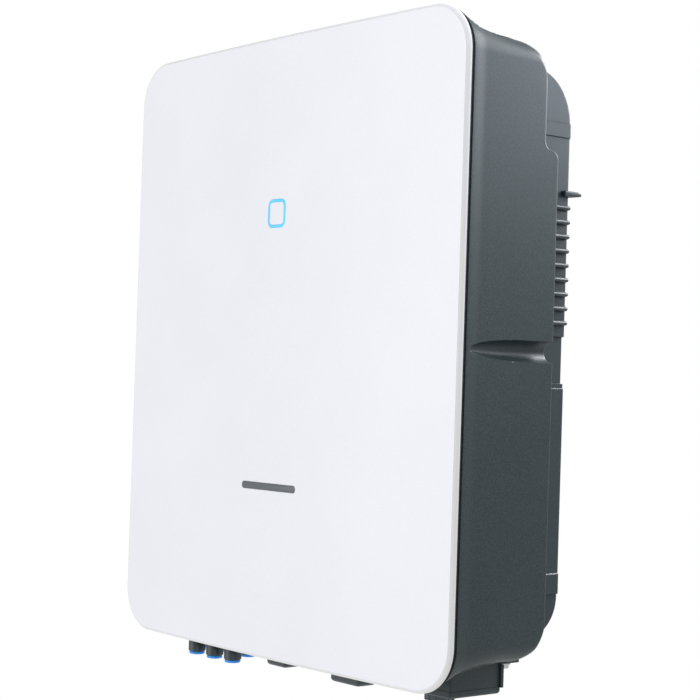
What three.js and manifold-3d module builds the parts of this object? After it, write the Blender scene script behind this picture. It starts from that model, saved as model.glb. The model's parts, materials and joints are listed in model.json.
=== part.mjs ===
// Wall-hung string inverter: a bowed front panel on a lofted cast housing, a finned casting
// behind it, a hanging rail, the row of sockets under it and the electronics inside.
//
// Lengths are in millimetres. Every piece is laid out in "case" coordinates: x to the right as
// seen from the front, y from the foremost point of the panel back to the wall, z up from the
// panel's centre. The last lines move the whole case so that the origin is the centre of the
// hanging face, on the wall plane.

import * as THREE from "three";
import { mergeVertices } from "three/addons/utils/BufferGeometryUtils.js";
import Module from "manifold-3d";

const wasm = await Module();
wasm.setup();

// ---------------------------------------------------------------- driving dimensions

const GAP = 0.3; // between pieces that touch
const RUNNING_GAP = 0.4; // round a part that turns or slides

const caseWidth = 460;
const caseHeight = 540;
const caseDepth = 170; // foremost point of the panel to the wall plane

const panelBow = 6; // how far the panel's middle stands in front of its side edges
const panelChamfer = 2.5;
const panelEdge = 4; // thickness at the side edges, chamfer included
const panelSkin = 3; // wall in front of the pocket behind the panel
const panelRim = 7; // width of the solid rim round that pocket
const panelCorner = 40;
const gasketThickness = 0.9;
const gasketInset = 1.6;
const gasketWidth = 5;

const housingInset = 0.6; // housing outline inside the panel's outline, at its front
const housingFlare = 1.4; // further inset of the side walls behind the front edge
const flareDepth = 9;
const housingWall = 3.4;
const sideDepth = 99; // front edge of the housing to the rear edge of its side walls
const notchRise = 15; // how much shorter the side walls are beside the upper fins
const notchDrop = 108.5; // from the panel's top edge to the middle of the S-curve between the edges
const notchRadius = 7.5;
const topDrop = 21; // fall of the top and bottom walls from the front edge backwards
const dropDepth = 52;
const dropCurve = 1.7; // 1 is a straight slope; more gives a hollower sweep
const rearRadius = 24; // rounding of the top and bottom walls into the rear edge

const gripHeight = 17; // finger grip groove in each side wall
const gripDepth = 10;
const gripNose = 7; // front tip of the groove, behind the front edge of the housing
const gripTaper = 56; // length over which the groove reaches full height
const gripZ = -0.6;
const gripWall = 3;

const basePlate = 6; // heat sink base plate
const baseGap = 1; // between the base plate and the grooves' inner walls
const baseInsetTop = 45.4; // from the level of the housing's top wall down to the base plate
const baseInsetBottom = 37.4;
const ledgeThickness = 3;
const ledgeLap = 11; // how far the sealing ledge reaches inside the base plate's outline
const sealThickness = 2.9;

const sinkInsetSide = 35; // from the panel's side edge to the outer face of the outermost fin
const sinkInsetTop = 35.5;
const sinkInsetBottom = 35;
const sinkRear = 158.2;
const sinkCornerTop = 42;
const sinkCornerBottom = 38;
const finCount = 23;
const finThickness = 3;
const sideFinThickness = 4.5;
const ribCount = 9;
const ribPitch = 12.03;
const ribDrop = 12.1; // from the hanging shelf to the first rib
const ribThickness = 3.6;
const ribDepth = 4.2;

const hangerDrop = 136.2; // from the panel's top edge down to the middle of the hanging shelf
const hangerThickness = 5;
const hangerLip = 26; // height of the turned-down lip whose rear face meets the wall
const hangerLipInset = 80; // from the panel's side edge to the end of the lip
const hangerLipThickness = 3;
const hangerBackHeight = 30;
const hangerScrewInset = 27; // inside the outermost fin

const restPadInset = 90; // from the panel's side edge to the middle of a pad
const restPadRise = 4; // above the rounded lower corner of the fins
const restPadSize = 30;

const socketPitch = 29;
const socketRadius = 7.6;
const socketBore = 4.4;
const socketDrop = 41.1; // the sockets' lower faces below the level part of the bottom wall
const plugFlange = 2.4;

const acBoxWidth = 77;
const acBoxLength = 56;
const acBoxInset = 33; // from the panel's side edge to the right face of the box
const acBoxDrop = 28.6;
const acBoxWall = 2.6;

const knobRadius = 17;
const knobHeight = 16;
const shaftRadius = 4;
const isolatorInset = 154; // from the panel's left edge to the shaft
const isolatorY = 60;

const boardThickness = 1.6;

// ---------------------------------------------------------------- derived places, front to back

const halfWidth = caseWidth / 2;
const halfHeight = caseHeight / 2;
const panelRear = panelBow + panelEdge;
const housingFront = panelRear + gasketThickness + 2 * GAP;
const housingRear = housingFront + sideDepth;
const notchRear = housingRear - notchRise;
const plateRear = notchRear - 1;
const plateFront = plateRear - basePlate;
const ledgeRear = plateFront - sealThickness - 2 * GAP;
const ledgeFront = ledgeRear - ledgeThickness;
const baseHalfWidth = halfWidth - housingInset - housingFlare - gripDepth - gripWall - baseGap;
const roofZ = halfHeight - housingInset - topDrop; // level part of the housing's top wall
const floorZ = housingWall - roofZ; // inner face of the level part of the bottom wall
const cornerCentreZ = halfHeight - panelCorner; // the corner arcs keep this centre height
const notchHeight = halfHeight - notchDrop;
const baseTop = roofZ - baseInsetTop;
const baseBottom = baseInsetBottom - roofZ;
const openingTop = baseTop - ledgeLap;
const openingBottom = baseBottom + ledgeLap;
const sinkHalfWidth = halfWidth - sinkInsetSide;
const sinkTop = halfHeight - sinkInsetTop;
const sinkBottom = sinkInsetBottom - halfHeight;
const hangerZ = halfHeight - hangerDrop;
const ribTopZ = hangerZ - ribDrop;
const hangerLipHalfWidth = halfWidth - hangerLipInset;
const hangerScrewX = sinkHalfWidth - hangerScrewInset;
const restPadX = halfWidth - restPadInset;
const restPadZ = sinkBottom + sinkCornerBottom + restPadRise + restPadSize / 2;
const socketTip = -roofZ - socketDrop;
const acBoxRight = halfWidth - acBoxInset;
const acBoxBottom = -roofZ - acBoxDrop;
const isolatorX = isolatorInset - halfWidth;
const holeBottom = -roofZ - 12; // holes in the bottom wall are cut between these heights
const holeTop = -roofZ + 13;
const trimTop = -roofZ + 23; // pieces under the housing are drawn up to here, then trimmed

// ---------------------------------------------------------------- finishes

const finish = (color, roughness, metalness) =>
  new THREE.MeshStandardMaterial({ color, roughness, metalness });

const FINISH = {
  panel: finish(0xeef0f6, 0.35, 0.0),
  casting: finish(0x434a4e, 0.6, 0.3),
  fins: finish(0x4a5156, 0.55, 0.35),
  rubber: finish(0x121416, 0.8, 0.0),
  lightRing: finish(0x4fb2ea, 0.3, 0.0),
  badge: finish(0x55595f, 0.4, 0.1),
  steel: finish(0xb9bdc0, 0.35, 0.9),
  blackPlastic: finish(0x26292b, 0.5, 0.0),
  bluePlastic: finish(0x1f74d8, 0.45, 0.0),
  clearPlastic: finish(0xdfe8ee, 0.2, 0.0),
  circuitBoard: finish(0x1d5b3a, 0.5, 0.0),
  copper: finish(0xb06a3a, 0.4, 0.7),
  ferrite: finish(0x3b3d40, 0.7, 0.1),
  aluminium: finish(0xa9adb0, 0.4, 0.8),
};

// ---------------------------------------------------------------- solids and geometry

const inverter = new THREE.Group();

function toSolid(geometry) {
  const bare = geometry.clone();
  bare.deleteAttribute("normal");
  bare.deleteAttribute("uv");
  const merged = mergeVertices(bare, 1e-4);
  const mesh = new wasm.Mesh({
    numProp: 3,
    vertProperties: merged.attributes.position.array,
    triVerts: new Uint32Array(merged.index.array),
  });
  return new wasm.Manifold(mesh);
}

function toGeometry(solid) {
  const mesh = solid.getMesh();
  const geometry = new THREE.BufferGeometry();
  geometry.setAttribute("position", new THREE.BufferAttribute(mesh.vertProperties, 3));
  geometry.setIndex(new THREE.BufferAttribute(mesh.triVerts, 1));
  geometry.computeVertexNormals();
  return geometry;
}

function addPiece(name, shape, material) {
  const geometry = shape instanceof THREE.BufferGeometry ? shape : toGeometry(shape);
  const mesh = new THREE.Mesh(geometry, material);
  mesh.name = name;
  inverter.add(mesh);
  return mesh;
}

const join = (solids) => solids.reduce((whole, next) => whole.add(next));

function box(x0, x1, y0, y1, z0, z1) {
  const geometry = new THREE.BoxGeometry(x1 - x0, y1 - y0, z1 - z0);
  return toSolid(geometry.translate((x0 + x1) / 2, (y0 + y1) / 2, (z0 + z1) / 2));
}

// A box centred on (x, y) that stands from z0 up to z1.
const post = (x, y, width, depth, z0, z1) =>
  box(x - width / 2, x + width / 2, y - depth / 2, y + depth / 2, z0, z1);

// A round bar along z, with an optional smaller lower end.
function barZ(x, y, z0, z1, radius, sides = 16, lowerRadius = radius) {
  const geometry = new THREE.CylinderGeometry(radius, lowerRadius, z1 - z0, sides);
  return toSolid(geometry.rotateX(Math.PI / 2).translate(x, y, (z0 + z1) / 2));
}

// A round bar along y.
function barY(x, z, y0, y1, radius, sides = 16) {
  const geometry = new THREE.CylinderGeometry(radius, radius, y1 - y0, sides);
  return toSolid(geometry.translate(x, (y0 + y1) / 2, z));
}

const X = new THREE.Vector3(1, 0, 0);
const Y = new THREE.Vector3(0, 1, 0);
const Z = new THREE.Vector3(0, 0, 1);

function extruded(shape, depth, segments) {
  return new THREE.ExtrudeGeometry(shape, { depth, bevelEnabled: false, curveSegments: segments });
}

// A shape drawn in (x, z), from y0 back to y1.
function slabY(shape, y0, y1, segments = 8) {
  return toSolid(extruded(shape, y1 - y0, segments).rotateX(Math.PI / 2).translate(0, y1, 0));
}

// A shape drawn in (y, z), from x0 across to x1.
function slabX(shape, x0, x1, segments = 8) {
  const turn = new THREE.Matrix4().makeBasis(Y, Z, X);
  return toSolid(extruded(shape, x1 - x0, segments).applyMatrix4(turn).translate(x0, 0, 0));
}

// A shape drawn in (x, y), from z0 up to z1.
function slabZ(shape, z0, z1, segments = 8) {
  return toSolid(extruded(shape, z1 - z0, segments).translate(0, 0, z0));
}

function roundedRect(a0, a1, b0, b1, radius) {
  const shape = new THREE.Shape();
  shape.moveTo(a1, b0 + radius);
  shape.absarc(a1 - radius, b1 - radius, radius, 0, Math.PI / 2);
  shape.absarc(a0 + radius, b1 - radius, radius, Math.PI / 2, Math.PI);
  shape.absarc(a0 + radius, b0 + radius, radius, Math.PI, 1.5 * Math.PI);
  shape.absarc(a1 - radius, b0 + radius, radius, 1.5 * Math.PI, 2 * Math.PI);
  shape.closePath();
  return shape;
}

function polygon(points) {
  return new THREE.Shape(points.map(([a, b]) => new THREE.Vector2(a, b)));
}

const ARC_STEPS = 5;

// One closed outline round the y axis: a rectangle x = ±half, z = low to high, with corner arcs.
// y is a number or a function of x; the level edges are split so that they can follow it.
function outlineRing(half, low, high, radiusLow, radiusHigh, y, levelSteps = 1) {
  const depthAt = typeof y === "function" ? y : () => y;
  const corners = [
    [half - radiusHigh, high - radiusHigh, radiusHigh, 0],
    [-half + radiusHigh, high - radiusHigh, radiusHigh, 1],
    [-half + radiusLow, low + radiusLow, radiusLow, 2],
    [half - radiusLow, low + radiusLow, radiusLow, 3],
  ];
  const ring = [];
  const add = (x, z) => ring.push(new THREE.Vector3(x, depthAt(x), z));
  for (const [cx, cz, radius, quarter] of corners) {
    for (let i = 0; i <= ARC_STEPS; i += 1) {
      const angle = ((quarter + i / ARC_STEPS) * Math.PI) / 2;
      add(cx + radius * Math.cos(angle), cz + radius * Math.sin(angle));
    }
    const onLevelEdge = quarter % 2 === 0;
    for (let i = 1; onLevelEdge && i < levelSteps; i += 1) {
      add(cx * (1 - (2 * i) / levelSteps), cz + radius * (quarter === 0 ? 1 : -1));
    }
  }
  return ring;
}

// A closed body through rings that run from front to back, each with a cap point at its ends.
function lofted(rings) {
  const count = rings[0].length;
  const points = rings.flat();
  const middle = (ring) =>
    ring.reduce((sum, p) => sum.add(p), new THREE.Vector3()).divideScalar(ring.length);
  const front = points.length;
  points.push(middle(rings[0]), middle(rings[rings.length - 1]));
  const index = [];
  const lastRing = (rings.length - 1) * count;
  for (let i = 0; i < count; i += 1) {
    const j = (i + 1) % count;
    index.push(front, i, j);
    index.push(front + 1, lastRing + j, lastRing + i);
    for (let start = 0; start < lastRing; start += count) {
      const near = start + i;
      const nearNext = start + j;
      index.push(near, near + count, nearNext);
      index.push(nearNext, near + count, nearNext + count);
    }
  }
  const geometry = new THREE.BufferGeometry();
  const numbers = points.flatMap((point) => point.toArray());
  geometry.setAttribute("position", new THREE.Float32BufferAttribute(numbers, 3));
  geometry.setIndex(index);
  return geometry;
}

// ---------------------------------------------------------------- front panel and what is on it

const bowAt = (x) => panelBow * (x / halfWidth) ** 2;

const BOW_STEPS = 6; // straight stretches that the panel's bow is made of, along its level edges

function panelRing(inset, y) {
  const radius = Math.max(panelCorner - inset, 0.5);
  const high = halfHeight - inset;
  return outlineRing(halfWidth - inset, -high, high, radius, radius, y, BOW_STEPS);
}

const STATUS = { x: 0, z: halfHeight - 155, size: 25, line: 2.2, corner: 6, depth: 1.4 };

function statusOutline(inset) {
  const half = STATUS.size / 2 - inset;
  return roundedRect(
    STATUS.x - half, STATUS.x + half, STATUS.z - half, STATUS.z + half, STATUS.corner - inset,
  );
}

function statusBand(outer, inner, y0, y1) {
  return slabY(statusOutline(outer), y0, y1).subtract(slabY(statusOutline(inner), y0 - 1, y1 + 1));
}

const BADGE = { x: 0, z: 148.2 - halfHeight, width: 76, height: 6, depth: 1.2 };

function badgeBody(grow, y0, y1) {
  const halfLength = BADGE.width / 2 + grow;
  const half = BADGE.height / 2 + grow;
  return slabY(
    roundedRect(BADGE.x - halfLength, BADGE.x + halfLength, BADGE.z - half, BADGE.z + half, half - 0.2),
    y0, y1, 4,
  );
}

// A bowed face as rings that close in on the middle, out to the ring with the given inset.
function bowedFace(inset, y) {
  const parts = [0.02, 0.35, 0.68, 1];
  return parts.map((part) => panelRing(inset + (halfWidth - inset) * (1 - part), y));
}

function frontPanel() {
  const pocketTop = (x) => bowAt(x) + panelSkin;
  const side = [panelRing(0, (x) => bowAt(x) + panelChamfer), panelRing(0, panelRear)];
  const body = toSolid(lofted([...bowedFace(panelChamfer, bowAt), ...side]));
  const pocket = toSolid(lofted([...bowedFace(panelRim, pocketTop), panelRing(panelRim, panelRear + 1)]));
  return body
    .subtract(pocket)
    .subtract(statusBand(0, STATUS.line, -1, STATUS.depth))
    .subtract(badgeBody(GAP, -1, BADGE.depth));
}

addPiece("front_panel", frontPanel(), FINISH.panel);
addPiece(
  "status_ring",
  statusBand(GAP, STATUS.line - GAP, 0.1, STATUS.depth - GAP),
  FINISH.lightRing,
);
addPiece("badge_bar", badgeBody(0, 0.2, BADGE.depth - GAP), FINISH.badge);

function panelGasket() {
  const y0 = panelRear + GAP;
  const y1 = y0 + gasketThickness;
  const outer = toSolid(lofted([panelRing(gasketInset, y0), panelRing(gasketInset, y1)]));
  const inset = gasketInset + gasketWidth;
  return outer.subtract(toSolid(lofted([panelRing(inset, y0 - 1), panelRing(inset, y1 + 1)])));
}

addPiece("panel_gasket", panelGasket(), FINISH.rubber);

// ---------------------------------------------------------------- housing

// Height of the top wall, and depth of the bottom wall, above and below the panel's centre.
function wallHeight(y, rearEdge) {
  const fall = Math.min((y - housingFront) / dropDepth, 1);
  const swept = roofZ + topDrop * (1 - fall) ** dropCurve;
  const turn = y - (rearEdge - rearRadius);
  if (turn <= 0) return swept;
  const sideways = Math.min(turn, rearRadius);
  return swept - rearRadius + Math.sqrt(rearRadius ** 2 - sideways ** 2);
}

function housingRing(y, grow) {
  const flare = housingFlare * Math.min((y - housingFront) / flareDepth, 1);
  const half = halfWidth - housingInset - flare + grow;
  const high = wallHeight(y, notchRear) + grow;
  const low = -wallHeight(y, housingRear) - grow;
  const radius = (z) => Math.max(z - cornerCentreZ, 12 + grow);
  return outlineRing(half, low, high, radius(-low), radius(high), y);
}

function housingStations(y0, y1) {
  const sweep = [0, 4, 9, 17, 27, 38, 50].map((d) => housingFront + d);
  const turns = [0, 0.4, 0.7, 0.9, 1].map((part) => part * rearRadius);
  const upper = turns.map((d) => notchRear - rearRadius + d);
  const lower = turns.map((d) => housingRear - rearRadius + d);
  const inside = [...sweep, ...upper, ...lower].filter((y) => y > y0 + 0.8 && y < y1 - 0.8);
  const sorted = [y0, ...inside.sort((a, b) => a - b), y1];
  return sorted.filter((y, i) => i === 0 || y - sorted[i - 1] > 0.5);
}

function housingBody(grow, y0, y1) {
  return toSolid(lofted(housingStations(y0, y1).map((y) => housingRing(y, grow))));
}

// What is cut away behind the shorter, upper part of the side walls.
function notch() {
  const beyond = 200;
  const shape = new THREE.Shape();
  shape.moveTo(notchRear, halfHeight);
  shape.lineTo(notchRear, notchHeight + notchRadius);
  shape.absarc(notchRear + notchRadius, notchHeight + notchRadius, notchRadius, Math.PI, 1.5 * Math.PI);
  shape.absarc(housingRear - notchRadius, notchHeight - notchRadius, notchRadius, Math.PI / 2, 0, true);
  shape.lineTo(beyond, notchHeight - notchRadius);
  shape.lineTo(beyond, halfHeight);
  shape.closePath();
  return slabX(shape, -halfWidth - 1, halfWidth + 1, 5);
}

// The grip groove: a long half-ball at its front, then a straight trough out of the rear edge.
function grip(side, grow) {
  const deep = gripDepth + grow;
  const half = gripHeight / 2 + grow;
  const full = housingFront + gripNose + gripTaper;
  const nose = new THREE.SphereGeometry(1, 16, 8).rotateX(Math.PI / 2).scale(deep, gripTaper + grow, half);
  const trough = new THREE.CylinderGeometry(1, 1, housingRear - full + 20, 16)
    .scale(deep, 1, half)
    .translate(0, (housingRear - full + 20) / 2, 0);
  const x = side * (halfWidth - housingInset - housingFlare);
  return toSolid(nose.translate(x, full, gripZ)).add(toSolid(trough.translate(x, full, gripZ)));
}

// The scoop along each of the four front corners, between the side wall and the swept wall.
function cornerScoop(side, end) {
  const scoop = new THREE.SphereGeometry(1, 16, 8).scale(10, 30, 14);
  scoop.rotateX(-0.42).rotateZ(-0.1);
  scoop.translate(halfWidth + 0.5, housingFront + 30, halfHeight - 15);
  if (side > 0 && end > 0) return toSolid(scoop);
  const flip = new THREE.Matrix4().makeScale(side, 1, end);
  const solid = scoop.applyMatrix4(flip);
  if (side * end < 0) {
    const index = solid.index.array;
    for (let i = 0; i < index.length; i += 3) [index[i], index[i + 1]] = [index[i + 1], index[i]];
  }
  return toSolid(solid);
}

const ledgeOpening = roundedRect(
  -baseHalfWidth + ledgeLap, baseHalfWidth - ledgeLap, baseBottom + ledgeLap, baseTop - ledgeLap, 14,
);

// Sockets under the housing: two staggered rows of three.
const SOCKETS = [];
for (const [inset, y] of [[62, 48.5], [41, 81.5]]) {
  for (let column = 0; column < 3; column += 1) {
    SOCKETS.push({ x: inset - halfWidth + column * socketPitch, y });
  }
}

const COVER_FRONT = 38.5;
const comLeft = 185 - halfWidth;
const meterLeft = halfWidth - 184;
const COM_COVER = {
  x0: comLeft,
  x1: comLeft + 27,
  y0: COVER_FRONT,
  y1: COVER_FRONT + 20.5,
  z: -roofZ - 35.6,
};
const METER_COVER = {
  x0: meterLeft,
  x1: meterLeft + 37,
  y0: COVER_FRONT,
  y1: COVER_FRONT + 21.5,
  z: -roofZ - 36.6,
};
const VENT = { x: halfWidth - 126, y: 84, radius: 7 };
const CABLE_OPENING = 6; // how far an opening in the bottom wall is inside the cover below it

const acBoxLeft = acBoxRight - acBoxWidth;
const acBoxFront = 38;
const acBoxRear = acBoxFront + acBoxLength;

const CLIPS = [[-1, -1], [1, -1], [1, 1], [-1, 1]].map(([sx, sz]) => ({
  x: sx * (halfWidth - 50),
  z: sz * (halfHeight - 70),
}));
const CLIP = { width: 14, height: 6, reach: 4, barb: 1.5 };

function housing() {
  const outer = housingBody(0, housingFront, housingRear);
  const inner = housingBody(-housingWall, housingFront + housingWall, housingRear + 1);
  const ledge = housingBody(-1, ledgeFront, ledgeRear)
    .subtract(slabY(ledgeOpening, ledgeFront - 1, ledgeRear + 1));
  let body = outer.subtract(inner).add(ledge);
  for (const side of [-1, 1]) {
    const within = box(-halfWidth, halfWidth, housingFront, housingRear, -60, 60).intersect(outer);
    body = body.add(grip(side, gripWall).intersect(within));
  }
  const cuts = [notch(), grip(-1, 0), grip(1, 0)];
  for (const side of [-1, 1]) {
    for (const end of [-1, 1]) cuts.push(cornerScoop(side, end));
  }
  for (const { x, y } of SOCKETS) cuts.push(barZ(x, y, holeBottom, holeTop, socketBore + 1.6 + GAP));
  for (const { x0, x1, y0, y1 } of [COM_COVER, METER_COVER]) {
    const inset = CABLE_OPENING;
    cuts.push(box(x0 + inset, x1 - inset, y0 + inset, y1 - inset, holeBottom, holeTop));
  }
  cuts.push(
    box(acBoxLeft + 10, acBoxRight - 10, acBoxFront + 12, acBoxFront + 40, holeBottom, holeTop),
  );
  cuts.push(barZ(isolatorX, isolatorY, holeBottom, holeTop, shaftRadius + RUNNING_GAP));
  cuts.push(barZ(VENT.x, VENT.y, holeBottom, holeTop, VENT.radius - 2 + GAP));
  const { x, z, size } = STATUS;
  const guide = size / 2 + GAP;
  cuts.push(box(x - guide, x + guide, housingFront - 1, housingFront + 10, z - guide, z + guide));
  const wide = CLIP.width / 2 + GAP;
  const tall = CLIP.height / 2 + GAP;
  for (const { x: cx, z: cz } of CLIPS) {
    cuts.push(box(cx - wide, cx + wide, housingFront - 1, housingFront + 10, cz - tall, cz + tall));
  }
  return cuts.reduce((whole, cut) => whole.subtract(cut), body);
}

addPiece("housing", housing(), FINISH.casting);

// Snap clips that hold the panel on the housing's front wall.
CLIPS.forEach((clip, i) => {
  const front = bowAt(Math.abs(clip.x) + CLIP.width / 2) + panelSkin + 2 * GAP;
  const rear = housingFront + housingWall + GAP;
  const half = CLIP.width / 2;
  const tall = CLIP.height / 2;
  const { x, z } = clip;
  const stem = box(x - half, x + half, front, rear + CLIP.reach, z - tall, z + tall);
  const barb = box(x - half, x + half, rear, rear + CLIP.reach, z, z + tall + CLIP.barb);
  addPiece(`panel_clip_${i + 1}`, stem.add(barb), FINISH.blackPlastic);
});

// Light guide and status board behind the ring.
function lightGuide() {
  const half = STATUS.size / 2;
  const { x, z } = STATUS;
  const rear = housingFront + housingWall + 2;
  const block = box(x - half, x + half, panelSkin + 2 * GAP, rear, z - half, z + half);
  const hollow = half - 4;
  return block.subtract(box(x - hollow, x + hollow, 0, 40, z - hollow, z + hollow));
}

addPiece("light_guide", lightGuide(), FINISH.clearPlastic);

const statusBoardY = housingFront + housingWall + 2 + GAP;

function statusBoard() {
  const { x, z } = STATUS;
  const board = box(x - 28, x + 28, statusBoardY, statusBoardY + boardThickness, z - 22, z + 22);
  const socket = box(x - 8, x + 8, statusBoardY + 1, statusBoardY + 7, z - 19, z - 12);
  const chip = box(x - 5, x + 5, statusBoardY + 1, statusBoardY + 3, z - 5, z + 5);
  return join([board, socket, chip]);
}

addPiece("status_board", statusBoard(), FINISH.circuitBoard);

// ---------------------------------------------------------------- seal and heat sink

function housingSeal() {
  const y0 = ledgeRear + GAP;
  const y1 = y0 + sealThickness;
  const lap = (inset) => {
    const half = baseHalfWidth - inset;
    return roundedRect(-half, half, baseBottom + inset, baseTop - inset, 16 - inset);
  };
  return slabY(lap(3), y0, y1, 4).subtract(slabY(lap(8), y0 - 1, y1 + 1, 4));
}

addPiece("housing_seal", housingSeal(), FINISH.rubber);

// Side view of a fin: its rear corners are rounded, and its front is stepped to clear the rear
// edges of the housing.
function finProfile(inset) {
  const rear = sinkRear - inset;
  const top = sinkTop - inset;
  const bottom = sinkBottom + inset;
  const upperStep = notchRear + 1;
  const lowerStep = housingRear + 1;
  const lowerStepZ = -(roofZ - rearRadius - housingWall) + 2;
  const shape = new THREE.Shape();
  shape.moveTo(plateRear - 1, baseTop - 12);
  shape.lineTo(upperStep, baseTop - 12);
  shape.lineTo(upperStep, top);
  shape.lineTo(rear - sinkCornerTop, top);
  shape.absarc(rear - sinkCornerTop, top - sinkCornerTop, sinkCornerTop, Math.PI / 2, 0, true);
  shape.absarc(rear - sinkCornerBottom, bottom + sinkCornerBottom, sinkCornerBottom, 0, -Math.PI / 2, true);
  shape.lineTo(lowerStep, bottom);
  shape.lineTo(lowerStep, lowerStepZ);
  shape.lineTo(plateRear - 1, lowerStepZ);
  shape.closePath();
  return shape;
}

const hangerRecessFront = sinkRear - 9; // where the hanging rail is let into the fins
const hangerTopZ = hangerZ + hangerThickness / 2;
const hangerBackBottom = hangerTopZ - hangerBackHeight;
const fingerPatch = { z0: -25, z1: 14, depth: 3 };

function sideFeatures(side) {
  const outward = (x0, x1, y0, y1, z0, z1) =>
    box(Math.min(side * x0, side * x1), Math.max(side * x0, side * x1), y0, y1, z0, z1);
  const start = housingRear + 2;
  const bosses = [];
  for (let i = 0; i < ribCount; i += 1) {
    const low = ribTopZ - i * ribPitch - ribThickness / 2;
    const outer = sinkHalfWidth + ribDepth;
    bosses.push(outward(sinkHalfWidth - 1, outer, start, sinkRear, low, low + ribThickness));
  }
  const band = sinkTop - 54;
  const step = sinkBottom + 52;
  bosses.push(outward(sinkHalfWidth - 1, sinkHalfWidth + 1, notchRear + 3, sinkRear, band, band + 12));
  bosses.push(outward(sinkHalfWidth - 1, sinkHalfWidth + 0.8, start, sinkRear, step, -29));
  bosses.push(outward(sinkHalfWidth - 1, sinkHalfWidth + 1.6, start, sinkRear, step - 17, step));
  return bosses;
}

function heatSink() {
  const plateOutline = roundedRect(-baseHalfWidth, baseHalfWidth, baseBottom, baseTop, 18);
  const plate = slabY(plateOutline, plateFront, plateRear, 5);
  const profile = finProfile(0);
  const pitch = (2 * sinkHalfWidth - sideFinThickness) / (finCount - 1);
  const fins = [];
  for (let i = 0; i < finCount; i += 1) {
    const atSide = i === 0 || i === finCount - 1;
    const half = (atSide ? sideFinThickness : finThickness) / 2;
    const x = -sinkHalfWidth + sideFinThickness / 2 + i * pitch;
    fins.push(slabX(atSide ? profile : finProfile(1.5), x - half, x + half, atSide ? 5 : 3));
  }
  let body = join([plate, ...fins]);
  for (const side of [-1, 1]) body = body.add(join(sideFeatures(side)));
  const outerHalf = sinkHalfWidth + ribDepth + 1;
  body = body.intersect(slabX(finProfile(0), -outerHalf, outerHalf, 6).add(plate));
  const recess = box(
    -outerHalf, outerHalf, hangerRecessFront, caseDepth, hangerBackBottom - GAP, hangerTopZ + GAP,
  );
  const patches = [-1, 1].map((side) => {
    const x = side * sinkHalfWidth;
    const reach = fingerPatch.depth;
    return box(x - reach, x + reach, housingRear + 6, sinkRear + 1, fingerPatch.z0, fingerPatch.z1);
  });
  body = body.subtract(recess).subtract(join(patches));
  const seat = hangerTopZ - 12; // middle of the bar across the fins that the rail is screwed to
  const bar = roundedRect(hangerRecessFront - 3, hangerRecessFront - 0.2, seat - 6, seat + 6, 0.5);
  return body.add(slabX(bar, -outerHalf + 6, outerHalf - 6, 1));
}

addPiece("heat_sink", heatSink(), FINISH.fins);

// ---------------------------------------------------------------- hanging rail and rest pads

function hangerRail() {
  const half = sinkHalfWidth + ribDepth;
  const top = hangerTopZ;
  const low = top - hangerThickness;
  const front = hangerRecessFront + GAP;
  const back = box(-half + 6, half - 6, front, front + 3, hangerBackBottom, top);
  const tip = caseDepth;
  const shelf = polygon([
    [front, low], [tip - 1.5, low + 0.6], [tip, low + 1.8], [tip, top - 1.6],
    [tip - 1.5, top - 0.4], [front, top],
  ]);
  const lipHalf = hangerLipHalfWidth;
  const lip = box(-lipHalf, lipHalf, tip - hangerLipThickness, tip, top - hangerLip, top - 2);
  return join([back, slabX(shelf, -half, half), lip]);
}

const hangerFaceZ = hangerTopZ - hangerLip / 2 - 1;

function hangerScrew(x) {
  const y = hangerRecessFront + 3.3 + GAP;
  return barY(x, hangerTopZ - 14, y, y + 3, 4.5, 12).subtract(barY(x, hangerTopZ - 14, y + 1, y + 5, 2, 6));
}

addPiece("hanger_rail", hangerRail(), FINISH.fins);
[-hangerScrewX, hangerScrewX].forEach((x, i) => {
  addPiece(`hanger_screw_${i + 1}`, hangerScrew(x), FINISH.steel);
});

for (const [name, side] of [["left", -1], ["right", 1]]) {
  const x = side * restPadX;
  const half = restPadSize / 2;
  const front = sinkRear - 1.5 + GAP;
  const outline = roundedRect(x - half, x + half, restPadZ - half, restPadZ + half, 6);
  addPiece(`rest_pad_${name}`, slabY(outline, front, caseDepth, 4), FINISH.rubber);
}

const FLANGE_SCREW_ROWS = 4;
let screwNumber = 0;
for (const side of [-1, 1]) {
  for (let i = 0; i < FLANGE_SCREW_ROWS; i += 1) {
    const x = side * (baseHalfWidth - 7);
    const z = baseBottom + 24 + (i * (baseTop - baseBottom - 48)) / (FLANGE_SCREW_ROWS - 1);
    const head = barY(x, z, plateRear + GAP, plateRear + GAP + 3.5, 4.5, 12);
    const socket = barY(x, z, plateRear + GAP + 1.5, plateRear + 9, 2.3, 6);
    screwNumber += 1;
    addPiece(`flange_screw_${screwNumber}`, head.subtract(socket), FINISH.steel);
  }
}

// ---------------------------------------------------------------- under the housing

// What hangs under the housing is trimmed to follow the bottom wall, with a gap.
const underside = housingBody(GAP, housingFront + 0.5, housingRear);
const trimmed = (solid) => solid.subtract(underside);

SOCKETS.forEach(({ x, y }, i) => {
  const nut = trimmed(barZ(x, y, socketTip + 26, trimTop, socketRadius + 1.6, 6));
  const barrel = trimmed(barZ(x, y, socketTip, trimTop, socketRadius));
  const stem = barZ(x, y, socketTip + 20, floorZ + 4, socketBore + 1.6, 10);
  const bore = barZ(x, y, socketTip - 1, socketTip + 24, socketBore, 12);
  const key = post(x - socketRadius, y, 3, 3, socketTip - 1, socketTip + 9);
  addPiece(`pv_socket_${i + 1}`, join([nut, barrel, stem]).subtract(bore).subtract(key), FINISH.blackPlastic);

  const flangeTop = socketTip - GAP;
  const flange = barZ(x, y, flangeTop - plugFlange, flangeTop, socketRadius - 0.4);
  const pin = barZ(x, y, flangeTop - 1, socketTip + 15, socketBore - RUNNING_GAP, 12);
  addPiece(`pv_plug_${i + 1}`, flange.add(pin), FINISH.bluePlastic);
});

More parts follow.
